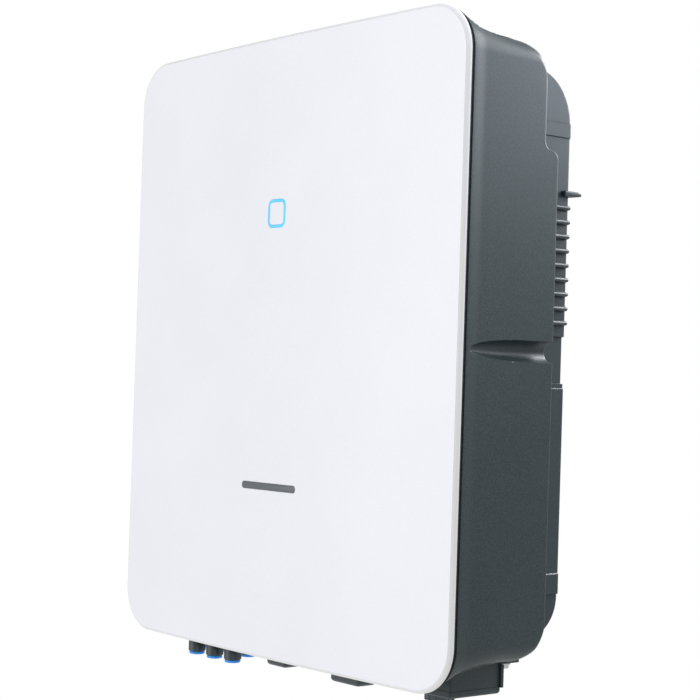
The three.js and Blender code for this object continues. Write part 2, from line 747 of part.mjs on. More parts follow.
function cover({ x0, x1, y0, y1, z }) {
  const shell = slabY(roundedRect(x0, x1, z, trimTop, 4), y0, y1, 4);
  const hollow = box(x0 + 2.5, x1 - 2.5, y0 + 2.5, y1 - 2.5, z + 2.5, trimTop + 5);
  return trimmed(shell).subtract(hollow);
}

addPiece("com_cover", cover(COM_COVER), FINISH.blackPlastic);
addPiece("meter_cover", cover(METER_COVER), FINISH.blackPlastic);

const GLAND = { x: (acBoxLeft + acBoxRight) / 2 - 8, y: (acBoxFront + acBoxRear) / 2 + 4, radius: 11 };

// Screw flange behind the box; it stands a little past the box's right face.
const AC_FLANGE = { x0: acBoxLeft + 6, x1: acBoxRight + 1.6, y0: acBoxRear - 1, y1: acBoxRear + 1.5 };

function acBox() {
  const low = acBoxBottom;
  const bevel = 4;
  const profile = polygon([
    [acBoxLeft + bevel, low], [acBoxRight - bevel, low], [acBoxRight, low + bevel], [acBoxRight, trimTop],
    [acBoxLeft, trimTop], [acBoxLeft, low + bevel],
  ]);
  const shell = slabY(profile, acBoxFront, acBoxRear);
  const wall = acBoxWall;
  const hollow = box(
    acBoxLeft + wall, acBoxRight - wall, acBoxFront + wall, acBoxRear - wall, low + wall, trimTop + 5,
  );
  const { x0, x1, y0, y1 } = AC_FLANGE;
  const flange = box(x0, x1, y0, y1, low + 5, trimTop);
  const glandHole = barZ(GLAND.x, GLAND.y, low - 1, low + 6, GLAND.radius);
  return trimmed(shell.add(flange)).subtract(hollow).subtract(glandHole);
}

function acGland() {
  const { x, y } = GLAND;
  const low = acBoxBottom;
  const neck = barZ(x, y, low - 6, low + 8, GLAND.radius - GAP);
  const flange = barZ(x, y, low - 4, low - GAP, 14.5, 6);
  const dome = barZ(x, y, low - 12, low - 3, 12.5, 24, 10.5);
  const inside = barZ(x, y, low + acBoxWall + GAP, low + 6, 13.5, 6);
  return join([neck, flange, dome, inside]).subtract(barZ(x, y, low - 20, low + 20, 7.5));
}

addPiece("ac_box", acBox(), FINISH.casting);
addPiece("ac_gland", acGland(), FINISH.blackPlastic);

const GROUND = { x0: acBoxRight + 3, x1: acBoxRight + 15, y0: 84, y1: 99, z: -roofZ - 1.6 };

function groundBracket() {
  const { x0, x1, y0, y1, z } = GROUND;
  return trimmed(box(x0, x1, y0, y1, z, trimTop - 3));
}

function groundScrew() {
  const x = (GROUND.x0 + GROUND.x1) / 2;
  const y = GROUND.y0 + 5;
  const top = GROUND.z - GAP;
  return barZ(x, y, top - 4.4, top - 1, 4, 6).add(barZ(x, y, top - 1.2, top, 5, 16));
}

addPiece("ground_bracket", groundBracket(), FINISH.casting);
addPiece("ground_screw", groundScrew(), FINISH.steel);

function ventPlug() {
  const { x, y, radius } = VENT;
  const cap = trimmed(barZ(x, y, -roofZ - 7, trimTop, radius, 12));
  const stem = barZ(x, y, -roofZ - 3, floorZ + 3, radius - 2);
  return cap.add(stem).subtract(barZ(x, y, holeBottom, holeTop, 2.2, 12));
}

addPiece("vent_plug", ventPlug(), FINISH.blackPlastic);

// DC isolator: body inside the housing, shaft through the bottom wall, knob below.
const knobTop = -wallHeight(isolatorY - knobRadius, housingRear) - 1.5;

function isolatorKnob() {
  const dial = barZ(isolatorX, isolatorY, knobTop - 6, knobTop, knobRadius, 28);
  const bar = post(isolatorX, isolatorY, 9, 2 * knobRadius - 3, knobTop - knobHeight, knobTop - 5);
  const bore = barZ(isolatorX, isolatorY, knobTop - 8, knobTop + 1, shaftRadius + GAP);
  return dial.add(bar).subtract(bore);
}

addPiece("isolator_knob", isolatorKnob(), FINISH.blackPlastic);
addPiece(
  "isolator_shaft",
  barZ(isolatorX, isolatorY, knobTop - 8 + GAP, floorZ + 14, shaftRadius),
  FINISH.steel,
);

function isolatorBody() {
  const low = floorZ + 1;
  const body = post(isolatorX, isolatorY, 44, 38, low, low + 44)
    .intersect(box(-halfWidth, halfWidth, housingFront, ledgeFront - 1, -halfHeight, 0));
  return body.subtract(barZ(isolatorX, isolatorY, low - 1, floorZ + 15, shaftRadius + RUNNING_GAP));
}

addPiece("isolator_body", isolatorBody(), FINISH.blackPlastic);

// ---------------------------------------------------------------- electronics inside the housing

// Parts with y1 = backY are bolted on the base plate; the boards stand in front of them.
const backY = plateFront - GAP;
const powerBoardY = housingFront + 31;
const trayY = powerBoardY - 12;
const controlBoardY = trayY - 7;
const insideHalf = baseHalfWidth - ledgeLap - 10; // half width of what passes through the ledge

const WINDINGS = { z0: openingBottom + 80, z1: openingBottom + 240, rows: 3 };
const CAPACITORS = { z0: openingTop - 118, z1: openingTop - 50 };
const trayTop = CAPACITORS.z0 - 14;
const filterLow = openingBottom + 16;
const filterHeight = 50;
const TRAY_LEG = 8;
const trayLegX = 112;
const trayLegLow = filterLow + filterHeight + 78; // the lower legs stand clear above the filter board
const trayLegHigh = trayTop - 6;
const TRAY_LEGS = [
  [-trayLegX, trayLegLow], [trayLegX, trayLegLow], [-trayLegX, trayLegHigh], [trayLegX, trayLegHigh],
];

function windingBox(x0, x1) {
  const { z0, z1, rows } = WINDINGS;
  const front = powerBoardY + boardThickness + 6;
  const can = slabY(roundedRect(x0, x1, z0, z1, 6), front, backY, 3);
  const ringZ = (i) => z0 + ((i + 0.5) * (z1 - z0)) / rows;
  const tops = [];
  for (let i = 0; i < rows; i += 1) {
    const ring = barY((x0 + x1) / 2, ringZ(i), front - 3, front + 1, 20, 14);
    tops.push(ring.subtract(barY((x0 + x1) / 2, ringZ(i), front - 4, front, 9, 10)));
  }
  return join([can, ...tops]);
}

addPiece("boost_chokes", windingBox(-insideHalf, -insideHalf + 62), FINISH.ferrite);
addPiece("ac_chokes", windingBox(insideHalf - 62, insideHalf), FINISH.ferrite);

function powerModule() {
  const top = CAPACITORS.z0 - 22;
  const base = box(-62, 62, backY - 12, backY, top - 60, top);
  const pins = [-54, -18, 18, 54].map((x) => box(x - 4, x + 4, backY - 17, backY - 11, top - 56, top - 4));
  return join([base, ...pins]);
}

addPiece("power_module", powerModule(), FINISH.blackPlastic);

function capacitorBank() {
  const y0 = powerBoardY + boardThickness + GAP;
  const deck = box(-112, 112, y0, y0 + 3, CAPACITORS.z0, CAPACITORS.z1);
  const cans = [];
  for (let i = 0; i < 8; i += 1) {
    const x = -84 + (i % 4) * 56;
    cans.push(barY(x, CAPACITORS.z0 + 17 + Math.floor(i / 4) * 34, y0 + 2, y0 + 36, 15, 12));
  }
  return join([deck, ...cans]);
}

addPiece("capacitor_bank", capacitorBank(), FINISH.blackPlastic);

// A square bar along y.
function squareBar(x, z, y0, y1, width) {
  const half = width / 2;
  return box(x - half, x + half, y0, y1, z - half, z + half);
}

function powerBoard() {
  const y1 = powerBoardY + boardThickness;
  const legHoles = TRAY_LEGS.map(([x, z]) => squareBar(x, z, powerBoardY - 1, y1 + 1, TRAY_LEG + 2 * GAP));
  const board = box(-insideHalf + 2, insideHalf - 2, powerBoardY, y1, openingBottom + 72, openingTop - 20)
    .subtract(join(legHoles));
  const relayZ = openingTop - 92;
  const front = powerBoardY - 10;
  const relays = [-150, -124, 124, 150].map((x) =>
    box(x - 10, x + 10, front, powerBoardY + 1, relayZ, relayZ + 28),
  );
  const sensors = [-150, 150].map((x) =>
    box(x - 14, x + 14, front + 1, powerBoardY + 1, relayZ - 38, relayZ - 16),
  );
  return join([board, ...relays, ...sensors]);
}

addPiece("power_board", powerBoard(), FINISH.circuitBoard);

function filterBoard() {
  const low = filterLow;
  const half = insideHalf - 2;
  const board = box(-half, half, powerBoardY, powerBoardY + boardThickness, low, low + filterHeight);
  const blocks = [];
  for (let i = 0; i < 6; i += 1) {
    const x = -150 + i * 60;
    blocks.push(box(x - 9, x + 9, powerBoardY - 9, powerBoardY + 1, low + 8, low + 24));
    blocks.push(barY(x, low + 37, powerBoardY - 7, powerBoardY + 1, 8, 10));
  }
  return join([board, ...blocks]);
}

addPiece("filter_board", filterBoard(), FINISH.circuitBoard);

// A sheet tray between the power board and the control board, on legs down to the base plate.
function boardTray() {
  const sheet = box(-118, 118, trayY, trayY + 1.5, trayTop - 122, trayTop);
  return join([sheet, ...TRAY_LEGS.map(([x, z]) => squareBar(x, z, trayY + 1, backY, TRAY_LEG))]);
}

addPiece("board_tray", boardTray(), FINISH.aluminium);

function controlBoard() {
  const y0 = controlBoardY;
  const top = trayTop - 8;
  const board = box(-108, 108, y0, y0 + boardThickness, top - 106, top);
  const chips = [[-60, -32, 12], [10, -62, 9], [66, -30, 8]].map(([x, drop, half]) =>
    box(x - half, x + half, y0 - 2, y0 + 0.5, top + drop - half, top + drop + half),
  );
  const header = box(-90, -40, y0 - 7, y0 + 0.5, top - 102, top - 94);
  return join([board, ...chips, header]);
}

addPiece("control_board", controlBoard(), FINISH.circuitBoard);

function commsBoard() {
  const y0 = powerBoardY - 16;
  const low = floorZ + 31;
  const board = box(-62, 62, y0, y0 + boardThickness, low, low + 74);
  const ports = [-40, -14, 14, 40].map((x) => box(x - 8, x + 8, y0 - 9, y0 + 0.5, low + 2, low + 18));
  return join([board, ...ports]);
}

addPiece("comms_board", commsBoard(), FINISH.circuitBoard);

// ---------------------------------------------------------------- the part's own frame

inverter.position.set(0, -caseDepth, -hangerFaceZ);

export default inverter;
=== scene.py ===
"""Blender add-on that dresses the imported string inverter: its finished shapes, materials and studio.

Shapes are worked out in millimetres in case coordinates: x to the right, y from the foremost point
of the front panel back to the wall, z up from the panel's middle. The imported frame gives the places.
"""

import json
import math

import bmesh
import bpy
from bpy.props import FloatProperty, FloatVectorProperty, IntProperty, PointerProperty
from mathutils import Matrix, Vector


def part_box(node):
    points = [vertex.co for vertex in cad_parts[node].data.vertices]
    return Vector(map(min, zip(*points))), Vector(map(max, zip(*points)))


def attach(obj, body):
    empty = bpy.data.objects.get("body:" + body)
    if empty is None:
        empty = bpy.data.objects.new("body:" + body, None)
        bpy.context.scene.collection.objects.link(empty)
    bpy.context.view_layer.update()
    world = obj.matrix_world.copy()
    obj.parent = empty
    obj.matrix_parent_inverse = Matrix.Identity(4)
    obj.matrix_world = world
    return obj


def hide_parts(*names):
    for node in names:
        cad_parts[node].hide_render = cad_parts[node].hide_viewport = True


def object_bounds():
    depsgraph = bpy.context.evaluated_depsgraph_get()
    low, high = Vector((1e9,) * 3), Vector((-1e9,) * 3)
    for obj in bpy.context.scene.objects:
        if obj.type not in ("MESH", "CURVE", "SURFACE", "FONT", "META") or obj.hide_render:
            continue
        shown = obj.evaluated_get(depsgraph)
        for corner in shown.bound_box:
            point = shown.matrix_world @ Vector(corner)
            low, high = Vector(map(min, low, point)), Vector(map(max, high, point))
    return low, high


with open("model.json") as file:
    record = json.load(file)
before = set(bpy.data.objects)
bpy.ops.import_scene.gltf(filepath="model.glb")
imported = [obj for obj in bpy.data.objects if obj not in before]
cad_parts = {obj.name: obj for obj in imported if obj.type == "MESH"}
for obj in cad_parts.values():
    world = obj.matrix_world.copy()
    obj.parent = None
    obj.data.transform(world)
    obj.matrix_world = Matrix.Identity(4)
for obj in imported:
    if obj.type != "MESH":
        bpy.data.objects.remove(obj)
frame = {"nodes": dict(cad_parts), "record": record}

bl_info = {
    "name": "String Inverter Looks",
    "version": (1, 0, 0),
    "blender": (4, 5, 0),
    "location": "3D View > Sidebar > Inverter",
    "description": "Builds the finished pieces of a wall-hung string inverter on its packed frame",
    "category": "Object",
}

MM = 0.001
FRAME_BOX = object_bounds()

# ---------------------------------------------------------------- case coordinates

PANEL_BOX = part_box("front_panel")
CASE_ORIGIN = Vector((0, PANEL_BOX[0].y, (PANEL_BOX[0].z + PANEL_BOX[1].z) / 2))


def case_box(node_name):
    """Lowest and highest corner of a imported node, in millimetres in case coordinates."""
    low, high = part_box(node_name)
    return (low - CASE_ORIGIN) / MM, (high - CASE_ORIGIN) / MM


def middle(node_name):
    """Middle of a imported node, in case coordinates."""
    low, high = case_box(node_name)
    return (low + high) / 2


PANEL_HALF, PANEL_REAR, PANEL_HIGH = case_box("front_panel")[1]
HOUSING_LOW, HOUSING_HIGH = case_box("housing")
HOUSING_FRONT, REAR_LOWER = HOUSING_LOW.y, HOUSING_HIGH.y
SINK_LOW, SINK_HIGH = case_box("heat_sink")
SEAL_LOW, SEAL_HIGH = case_box("housing_seal")
RAIL_LOW, RAIL_HIGH = case_box("hanger_rail")
SOCKET_NAMES = [f"pv_socket_{i}" for i in range(1, 7)]
RAIL_SHELF = RAIL_HIGH.z - 2.5  # middle of the rail's shelf
RAIL_GAP = 0.3  # between the rail and the recess in the fins
HANGER_LIP_HALF = 150

# light ring: width of its line, and the corner radius of its outer edge
RING_LINE, RING_CORNER = 2.2, 6

# corner scoops: angle up the corner from the side wall, and half their width, in degrees
SCOOP_ANGLE, SCOOP_WIDTH = 64, 25

# half the height round the grip and round the S-curve where rows of points are close together
GRIP_ZONE, NOTCH_ZONE = 11.5, 9.5
FLARE_EASE = 20  # the casting's flare is full this far from its sides

# finned casting: where the base plate starts and ends, and its plate's thickness
NOTCH_RISE, FIN_GAP, PLATE = 15, 1, 6
PLATE_REAR = REAR_LOWER - NOTCH_RISE - FIN_GAP
BASE_TOP, BASE_BOTTOM = SEAL_HIGH.z + 3, SEAL_LOW.z - 3
UPPER_STEP, LOWER_STEP = BASE_TOP - 12, -219.0  # heights where the fins' front edges step back
SIDE_FACE = PANEL_HALF - 35  # outer face of the outermost fins
LAND_EDGE = 0.35  # half the width over which a land rises from that face


# ---------------------------------------------------------------- sizes and colours to change

def linear(hex_colour):
    """An sRGB hex colour as linear red, green and blue."""
    parts = [int(hex_colour[i:i + 2], 16) / 255 for i in (1, 3, 5)]
    return tuple(p / 12.92 if p <= 0.04045 else ((p + 0.055) / 1.055) ** 2.4 for p in parts)


def length(name, description, millimetres):
    """A length property, its default given in millimetres."""
    return FloatProperty(
        name=name, description=description, default=millimetres * MM, unit="LENGTH", precision=5,
    )


def colour(name, description, hex_colour):
    """A colour property, its default given as sRGB hex."""
    return FloatVectorProperty(
        name=name, description=description, default=linear(hex_colour),
        subtype="COLOR", size=3, min=0, max=1,
    )


class InverterCasing(bpy.types.PropertyGroup):
    """Sizes of the front panel and the cast housing."""

    panel_bow: length("Panel bow", "How far the panel's middle stands in front of its side edges", 6)
    panel_corner: length("Panel corner", "Corner radius of the panel's outline", 40)
    panel_bevel: length("Panel bevel", "Width of the bright bevel round the panel's face", 2.5)
    panel_skin: length("Panel skin", "Wall thickness in front of the pocket behind the panel", 3)
    panel_rim: length("Panel rim", "Width of the solid rim round that pocket", 7)
    wall: length("Housing wall", "Wall thickness of the casting", 3.4)
    flare: length("Housing flare", "How much narrower the casting is behind its front edge", 0.9)
    flare_depth: length("Flare depth", "Depth over which the casting narrows", 16)
    corner_height: length("Corner height", "Height of the corner arcs' centres", 230)
    least_corner: length("Least corner", "Smallest corner radius, towards the rear", 12)
    top_drop: length("Top drop", "Fall of the top and bottom walls from the front edge", 21)
    drop_depth: length("Drop depth", "Depth over which those walls fall", 60)
    rear_radius: length("Rear radius", "Rounding of those walls into the rear edge", 24)
    notch_rise: length("Notch rise", "How much shorter the side walls are above it", NOTCH_RISE)
    notch_height: length("Notch height", "Height of the S-curve between the two rear edges", 161.5)
    notch_radius: length("Notch radius", "Radius of the S-curve's two arcs", 7.5)
    edge_round: length("Edge round", "Rounding of the casting's edges", 1.4)
    seam_lip: length("Seam lip", "How far the lip behind the panel is set in", 2.4)
    seam_depth: length("Seam depth", "Depth of that lip, which shows as a dark seam", 1.9)
    drop_curve: FloatProperty(
        name="Drop curve", description="1 is a straight slope; more gives a hollower sweep", default=1.5,
    )


class InverterGrip(bpy.types.PropertyGroup):
    """Sizes of the finger grips and the corner scoops."""

    height: length("Grip height", "Height of the finger groove in each side wall", 17)
    depth: length("Grip depth", "Depth of the groove", 10)
    nose: length("Grip nose", "Front tip of the groove behind the housing's front edge", 7)
    taper: length("Grip taper", "Length over which the groove reaches its full height", 56)
    level: length("Grip level", "Height of the groove's middle", -0.6)
    wall: length("Grip wall", "Wall of the casting behind the groove", 3)
    rim: length("Grip rim", "Softness of the groove's rim", 0.3)
    scoop_length: length("Scoop length", "Length of the scoops along the casting's four corners", 50)
    scoop_depth: length("Scoop depth", "Depth of those scoops", 5)


class InverterSink(bpy.types.PropertyGroup):
    """Sizes of the finned casting."""

    fin_count: IntProperty(name="Fins", description="Number of fins, with the outermost", default=23)
    fin: length("Fin", "Thickness of an inner fin at its root", 3)
    side_fin: length("Side fin", "Thickness of the outermost fins", 4.5)
    corner_top: length("Upper corner", "Radius of the fins' upper rear corner", 42)
    corner_bottom: length("Lower corner", "Radius of the fins' lower rear corner", 33)
    rib_count: IntProperty(name="Ribs", description="Number of ribs on each side", default=9)
    rib_pitch: length("Rib pitch", "Distance between two ribs", 12.03)
    rib_drop: length("Rib drop", "From the hanging shelf to the first rib", 12.1)
    rib: length("Rib", "Thickness of a rib", 3.6)


class InverterColours(bpy.types.PropertyGroup):
    """Colours of the finishes."""

    panel: colour("Panel", "Pearl lacquer of the front panel", "#eceef4")
    # bevel: painted shade, the panel's lacquer coloured darker where the bevel turns from the light
    bevel: colour("Bevel", "Satin bevel and edge round the panel", "#a4aabd")
    casting: colour("Casting", "Powder coat of the housing", "#263336")
    fins: colour("Fins", "Powder coat of the finned casting", "#28353a")
    black: colour("Black plastic", "Sockets, covers and knob", "#384447")
    blue: colour("Blue plastic", "Sealing plugs", "#2d9cf8")
    light: colour("Status light", "Light ring", "#4fc0f8")
    badge: colour("Badge", "Plain bar below the middle of the panel", "#5a5f66")


class InverterStudio(bpy.types.PropertyGroup):
    """Camera and light."""

    lens: FloatProperty(name="Lens", description="Focal length in millimetres", default=88.7)
    azimuth: FloatProperty(name="Azimuth", description="Camera's way round the case, degrees", default=50.49)
    elevation: FloatProperty(name="Elevation", description="Camera's height angle, degrees", default=-1.14)
    roll: FloatProperty(name="Roll", description="Camera's turn about its axis, degrees", default=1.84)
    floor_drop: length("Floor drop", "From the lowest piece down to the floor", 900)


def sizes(name):
    """One of the property groups."""
    return getattr(bpy.context.scene, "inverter_" + name)


def mm(value):
    """A length property in millimetres."""
    return value / MM


# ---------------------------------------------------------------- meshes

def soften(mesh, angle=32):
    """Smooth shading, with edges sharper than the angle kept crisp."""
    mesh.shade_smooth()
    mesh.set_sharp_from_angle(angle=math.radians(angle))


def piece_from_bmesh(name, shape, material, angle=32):
    """Turns a bmesh in case millimetres into an object at the origin, faces pointing out."""
    bmesh.ops.remove_doubles(shape, verts=shape.verts, dist=1e-4)
    bmesh.ops.dissolve_degenerate(shape, edges=shape.edges, dist=1e-5)
    bmesh.ops.recalc_face_normals(shape, faces=shape.faces)
    mesh = bpy.data.meshes.new(name)
    shape.to_mesh(mesh)
    shape.free()
    mesh.transform(Matrix.Translation(CASE_ORIGIN) @ Matrix.Scale(MM, 4))
    soften(mesh, angle)
    if material:
        mesh.materials.append(material)
    made = bpy.data.objects.new(name, mesh)
    bpy.context.scene.collection.objects.link(made)
    return made


def skin(shape, rings, closed_loop=False):
    """Faces through rings of points; the ends meet in a closed loop or are each closed with a fan."""
    rows = [[shape.verts.new(p) for p in ring] for ring in rings]
    count = len(rows[0])
    pairs = list(zip(rows, rows[1:]))
    if closed_loop:
        pairs.append((rows[-1], rows[0]))
    for near, far in pairs:
        for i in range(count):
            j = (i + 1) % count
            shape.faces.new((near[i], near[j], far[j], far[i]))
    for row in () if closed_loop else (rows[0], rows[-1]):
        hub = shape.verts.new(sum((v.co for v in row), Vector()) / count)
        for i in range(count):
            shape.faces.new((row[i], row[(i + 1) % count], hub))


def evenly(start, end, steps):
    """Evenly spaced values, both ends included."""
    return [start + (end - start) * i / steps for i in range(steps + 1)]


def rounded_outline(half, low, high, round_low, round_high, arc=10, uprights=(), level_steps=12):
    """(x, z, angle) round a rounded rectangle, from its lower right up; angle is the way outwards."""
    points = []

    def corner(x, z, radius, start):
        for turn in evenly(start, start + 90, arc):
            a = math.radians(turn)
            points.append((x + radius * math.cos(a), z + radius * math.sin(a), a))

    right_low, right_high = low + round_low, high - round_high
    between = [z for z in uprights if right_low < z < right_high]
    points += [(half, z, 0.0) for z in between]
    corner(half - round_high, right_high, round_high, 0)
    inner = half - round_high
    points += [(x, high, math.pi / 2) for x in evenly(inner, -inner, level_steps)[1:-1]]
    corner(-inner, right_high, round_high, 90)
    points += [(-half, z, math.pi) for z in reversed(between)]
    inner = half - round_low
    corner(-inner, right_low, round_low, 180)
    points += [(x, low, 1.5 * math.pi) for x in evenly(-inner, inner, level_steps)[1:-1]]
    corner(inner, right_low, round_low, 270)
    return points


def block(shape, low, high, bevel=0.0, segments=2):
    """A box with rounded edges."""
    made = bmesh.ops.create_cube(shape, size=1)["verts"]
    low, high = Vector(low), Vector(high)
    for v in made:
        v.co = Vector(low[i] + (v.co[i] + 0.5) * (high[i] - low[i]) for i in range(3))
    if bevel:
        edges = list({e for v in made for e in v.link_edges})
        bmesh.ops.bevel(
            shape, geom=edges, offset=bevel, offset_type="OFFSET", segments=segments,
            profile=0.5, affect="EDGES", clamp_overlap=True,
        )


def turned(shape, x, y, profile, steps=40, facet=None, lift=None):
    """A body turned about an upright axis, from (radius, z) points.

    facet gives it that many flat sides; lift(z, angle) raises points of the profile."""
    rise = lift or (lambda z, a: 0)

    def reach(radius, angle):
        if not facet:
            return radius
        share = (angle % (2 * math.pi / facet)) - math.pi / facet
        return min(radius, radius * math.cos(math.pi / facet) / math.cos(share))

    rings = []
    for radius, z in profile:
        rings.append([
            (x + reach(radius, a) * math.cos(a), y + reach(radius, a) * math.sin(a), z + rise(z, a))
            for a in (2 * math.pi * i / steps for i in range(steps))
        ])
    skin(shape, rings)


def studs(shape, x, y, count, reach, profile, steps, start=0):
    """Small turned studs set round a circle."""
    for k in range(count):
        a = math.radians(360 / count * k + start)
        turned(shape, x + reach * math.cos(a), y + reach * math.sin(a), profile, steps)


def prism(shape, outline, axis, start, end, bevel=0.0, segments=2):
    """An outline drawn across the axis, from start to end, with rounded end edges."""
    place = {
        "x": lambda a, b, c: (c, a, b),
        "y": lambda a, b, c: (a, c, b),
        "z": lambda a, b, c: (a, b, c),
    }[axis]
    middle_a = sum(a for a, _ in outline) / len(outline)
    middle_b = sum(b for _, b in outline) / len(outline)
    size = max(max(abs(a - middle_a), abs(b - middle_b)) for a, b in outline)

    def drawn_in(inset):
        if not inset:
            return outline
        return inset_outline(outline, inset) if size > 2 * inset else outline

    stations = [(start, 0.0), (end, 0.0)]
    if bevel:
        curve = [math.radians(90 * i / segments) for i in range(segments + 1)]
        first = [(start + bevel * (1 - math.sin(a)), bevel * (1 - math.cos(a))) for a in reversed(curve)]
        last = [(end - bevel * (1 - math.sin(a)), bevel * (1 - math.cos(a))) for a in curve]
        stations = first + last
    skin(shape, [[place(a, b, c) for a, b in drawn_in(inset)] for c, inset in stations])


def inset_outline(outline, inset):
    """The outline drawn in by a distance, corner by corner."""
    area = sum(a[0] * b[1] - b[0] * a[1] for a, b in zip(outline, outline[1:] + outline[:1]))
    turn = 1 if area > 0 else -1
    count = len(outline)
    drawn = []
    for i in range(count):
        here = Vector(outline[i])
        before = (here - Vector(outline[i - 1])).normalized()
        after = (Vector(outline[(i + 1) % count]) - here).normalized()
        normals = [Vector((-d.y, d.x)) * turn for d in (before, after)]
        way = (normals[0] + normals[1]).normalized()
        drawn.append(tuple(here + way * inset / max(way.dot(normals[0]), 0.4)))
    return drawn


def convert(piece):
    """Applies a piece's modifiers, so that a plain mesh is left."""
    graph = bpy.context.evaluated_depsgraph_get()
    mesh = bpy.data.meshes.new_from_object(piece.evaluated_get(graph))
    piece.modifiers.clear()
    piece.data = mesh


def cut(piece, cutter, angle=32):
    """Cuts one closed mesh out of another and removes the cutter."""
    modifier = piece.modifiers.new("cut", "BOOLEAN")
    modifier.operation = "DIFFERENCE"
    modifier.solver = "MANIFOLD"
    modifier.object = cutter
    convert(piece)
    bpy.data.objects.remove(cutter)
    if not piece.data.polygons:
        raise RuntimeError(f"cutting {piece.name} left nothing")
    soften(piece.data, angle)


def settle(piece, slot, *nodes, body="inverter"):
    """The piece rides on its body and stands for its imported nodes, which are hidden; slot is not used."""
    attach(piece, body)
    if nodes:
        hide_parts(*nodes)


def finished(name, shape, slot, *nodes, body="inverter"):
    """A piece from a bmesh in its slot's finish, settled on its body."""
    settle(piece_from_bmesh(name, shape, finish(slot)), slot, *nodes, body=body)


# ---------------------------------------------------------------- what repeats

REPEAT_INPUTS = (
    ("Piece", "NodeSocketObject"),
    ("Start", "NodeSocketVector"),
    ("Rows", "NodeSocketInt"),
    ("Row Step", "NodeSocketVector"),
    ("Columns", "NodeSocketInt"),
    ("Column Step", "NodeSocketVector"),
    ("Finish", "NodeSocketMaterial"),
)


def add(tree, kind, inputs=(), **settings):
    """Adds a node with its settings; an input is a value or the socket that it is linked from."""
    made = tree.nodes.new(kind)
    for name, value in settings.items():
        setattr(made, name, value)
    for key, value in dict(inputs).items():
        if isinstance(value, bpy.types.NodeSocket):
            tree.links.new(value, made.inputs[key])
        else:
            made.inputs[key].default_value = value
    return made


def repeat_tree():
    """Geometry Nodes that set a piece out in rows and columns, one step apart."""
    found = bpy.data.node_groups.get("inverter repeat")
    if found:
        return found
    tree = bpy.data.node_groups.new("inverter repeat", "GeometryNodeTree")
    tree.interface.new_socket("Geometry", in_out="OUTPUT", socket_type="NodeSocketGeometry")
    for name, kind in REPEAT_INPUTS:
        tree.interface.new_socket(name, in_out="INPUT", socket_type=kind)
    given = add(tree, "NodeGroupInput").outputs
    rows = add(tree, "GeometryNodeMeshLine", {
        "Count": given["Rows"], "Start Location": given["Start"], "Offset": given["Row Step"],
    })
    column = add(tree, "GeometryNodeMeshLine", {
        "Count": given["Columns"], "Offset": given["Column Step"],
    })
    spread = add(tree, "GeometryNodeInstanceOnPoints", {
        "Points": rows.outputs["Mesh"], "Instance": column.outputs["Mesh"],
    })
    places = add(tree, "GeometryNodeRealizeInstances", {"Geometry": spread.outputs["Instances"]})
    source = add(tree, "GeometryNodeObjectInfo", {"Object": given["Piece"]})
    copies = add(tree, "GeometryNodeInstanceOnPoints", {
        "Points": places.outputs["Geometry"], "Instance": source.outputs["Geometry"],
    })
    real = add(tree, "GeometryNodeRealizeInstances", {"Geometry": copies.outputs["Instances"]})
    finished = add(tree, "GeometryNodeSetMaterial", {
        "Geometry": real.outputs["Geometry"], "Material": given["Finish"],
    })
    add(tree, "NodeGroupOutput", {"Geometry": finished.outputs["Geometry"]})
    return tree


def repeated(name, source, material, start, columns, column_step, rows=1, row_step=(0, 0, 0), angle=32):
    """Copies of a source piece, built about the case origin, as one plain mesh. Steps in millimetres."""
    tree = repeat_tree()
    source.data.transform(Matrix.Translation(-CASE_ORIGIN))
    holder = bpy.data.objects.new(name, bpy.data.meshes.new(name))
    bpy.context.scene.collection.objects.link(holder)
    modifier = holder.modifiers.new("repeat", "NODES")
    modifier.node_group = tree
    values = {
        "Piece": source,
        "Start": CASE_ORIGIN + Vector(start) * MM,
        "Rows": rows,
        "Row Step": Vector(row_step) * MM,
        "Columns": columns,
        "Column Step": Vector(column_step) * MM,
        "Finish": material,
    }
    for item in tree.interface.items_tree:
        if item.in_out == "INPUT":
            modifier[item.identifier] = values[item.name]
    convert(holder)
    bpy.data.objects.remove(source)
    if not holder.data.polygons:
        raise RuntimeError(f"{name} came out empty")
    soften(holder.data, angle)
    return holder


# ---------------------------------------------------------------- materials

def per_mm(size):
    """Texture scale for a pattern whose features are this many millimetres apart."""
    return 1 / (size * MM)


def new_material(name):
    """An empty material, its tree, and Object coordinates."""
    material = bpy.data.materials.new(name)
    material.use_nodes = True
    tree = material.node_tree
    tree.nodes.clear()
    place = add(tree, "ShaderNodeTexCoord").outputs["Object"]
    return material, tree, place


def blend_colours(tree, factor, low, high):
    """A colour between two, by a factor from 0 to 1."""
    ramp = add(tree, "ShaderNodeValToRGB", {"Fac": factor})
    ramp.color_ramp.elements[0].color = (*low, 1)
    ramp.color_ramp.elements[1].color = (*high, 1)
    return ramp


def tinted(rgb, share):
    """A colour made lighter or darker by a share."""
    return tuple(min(1.0, c * share) for c in rgb)


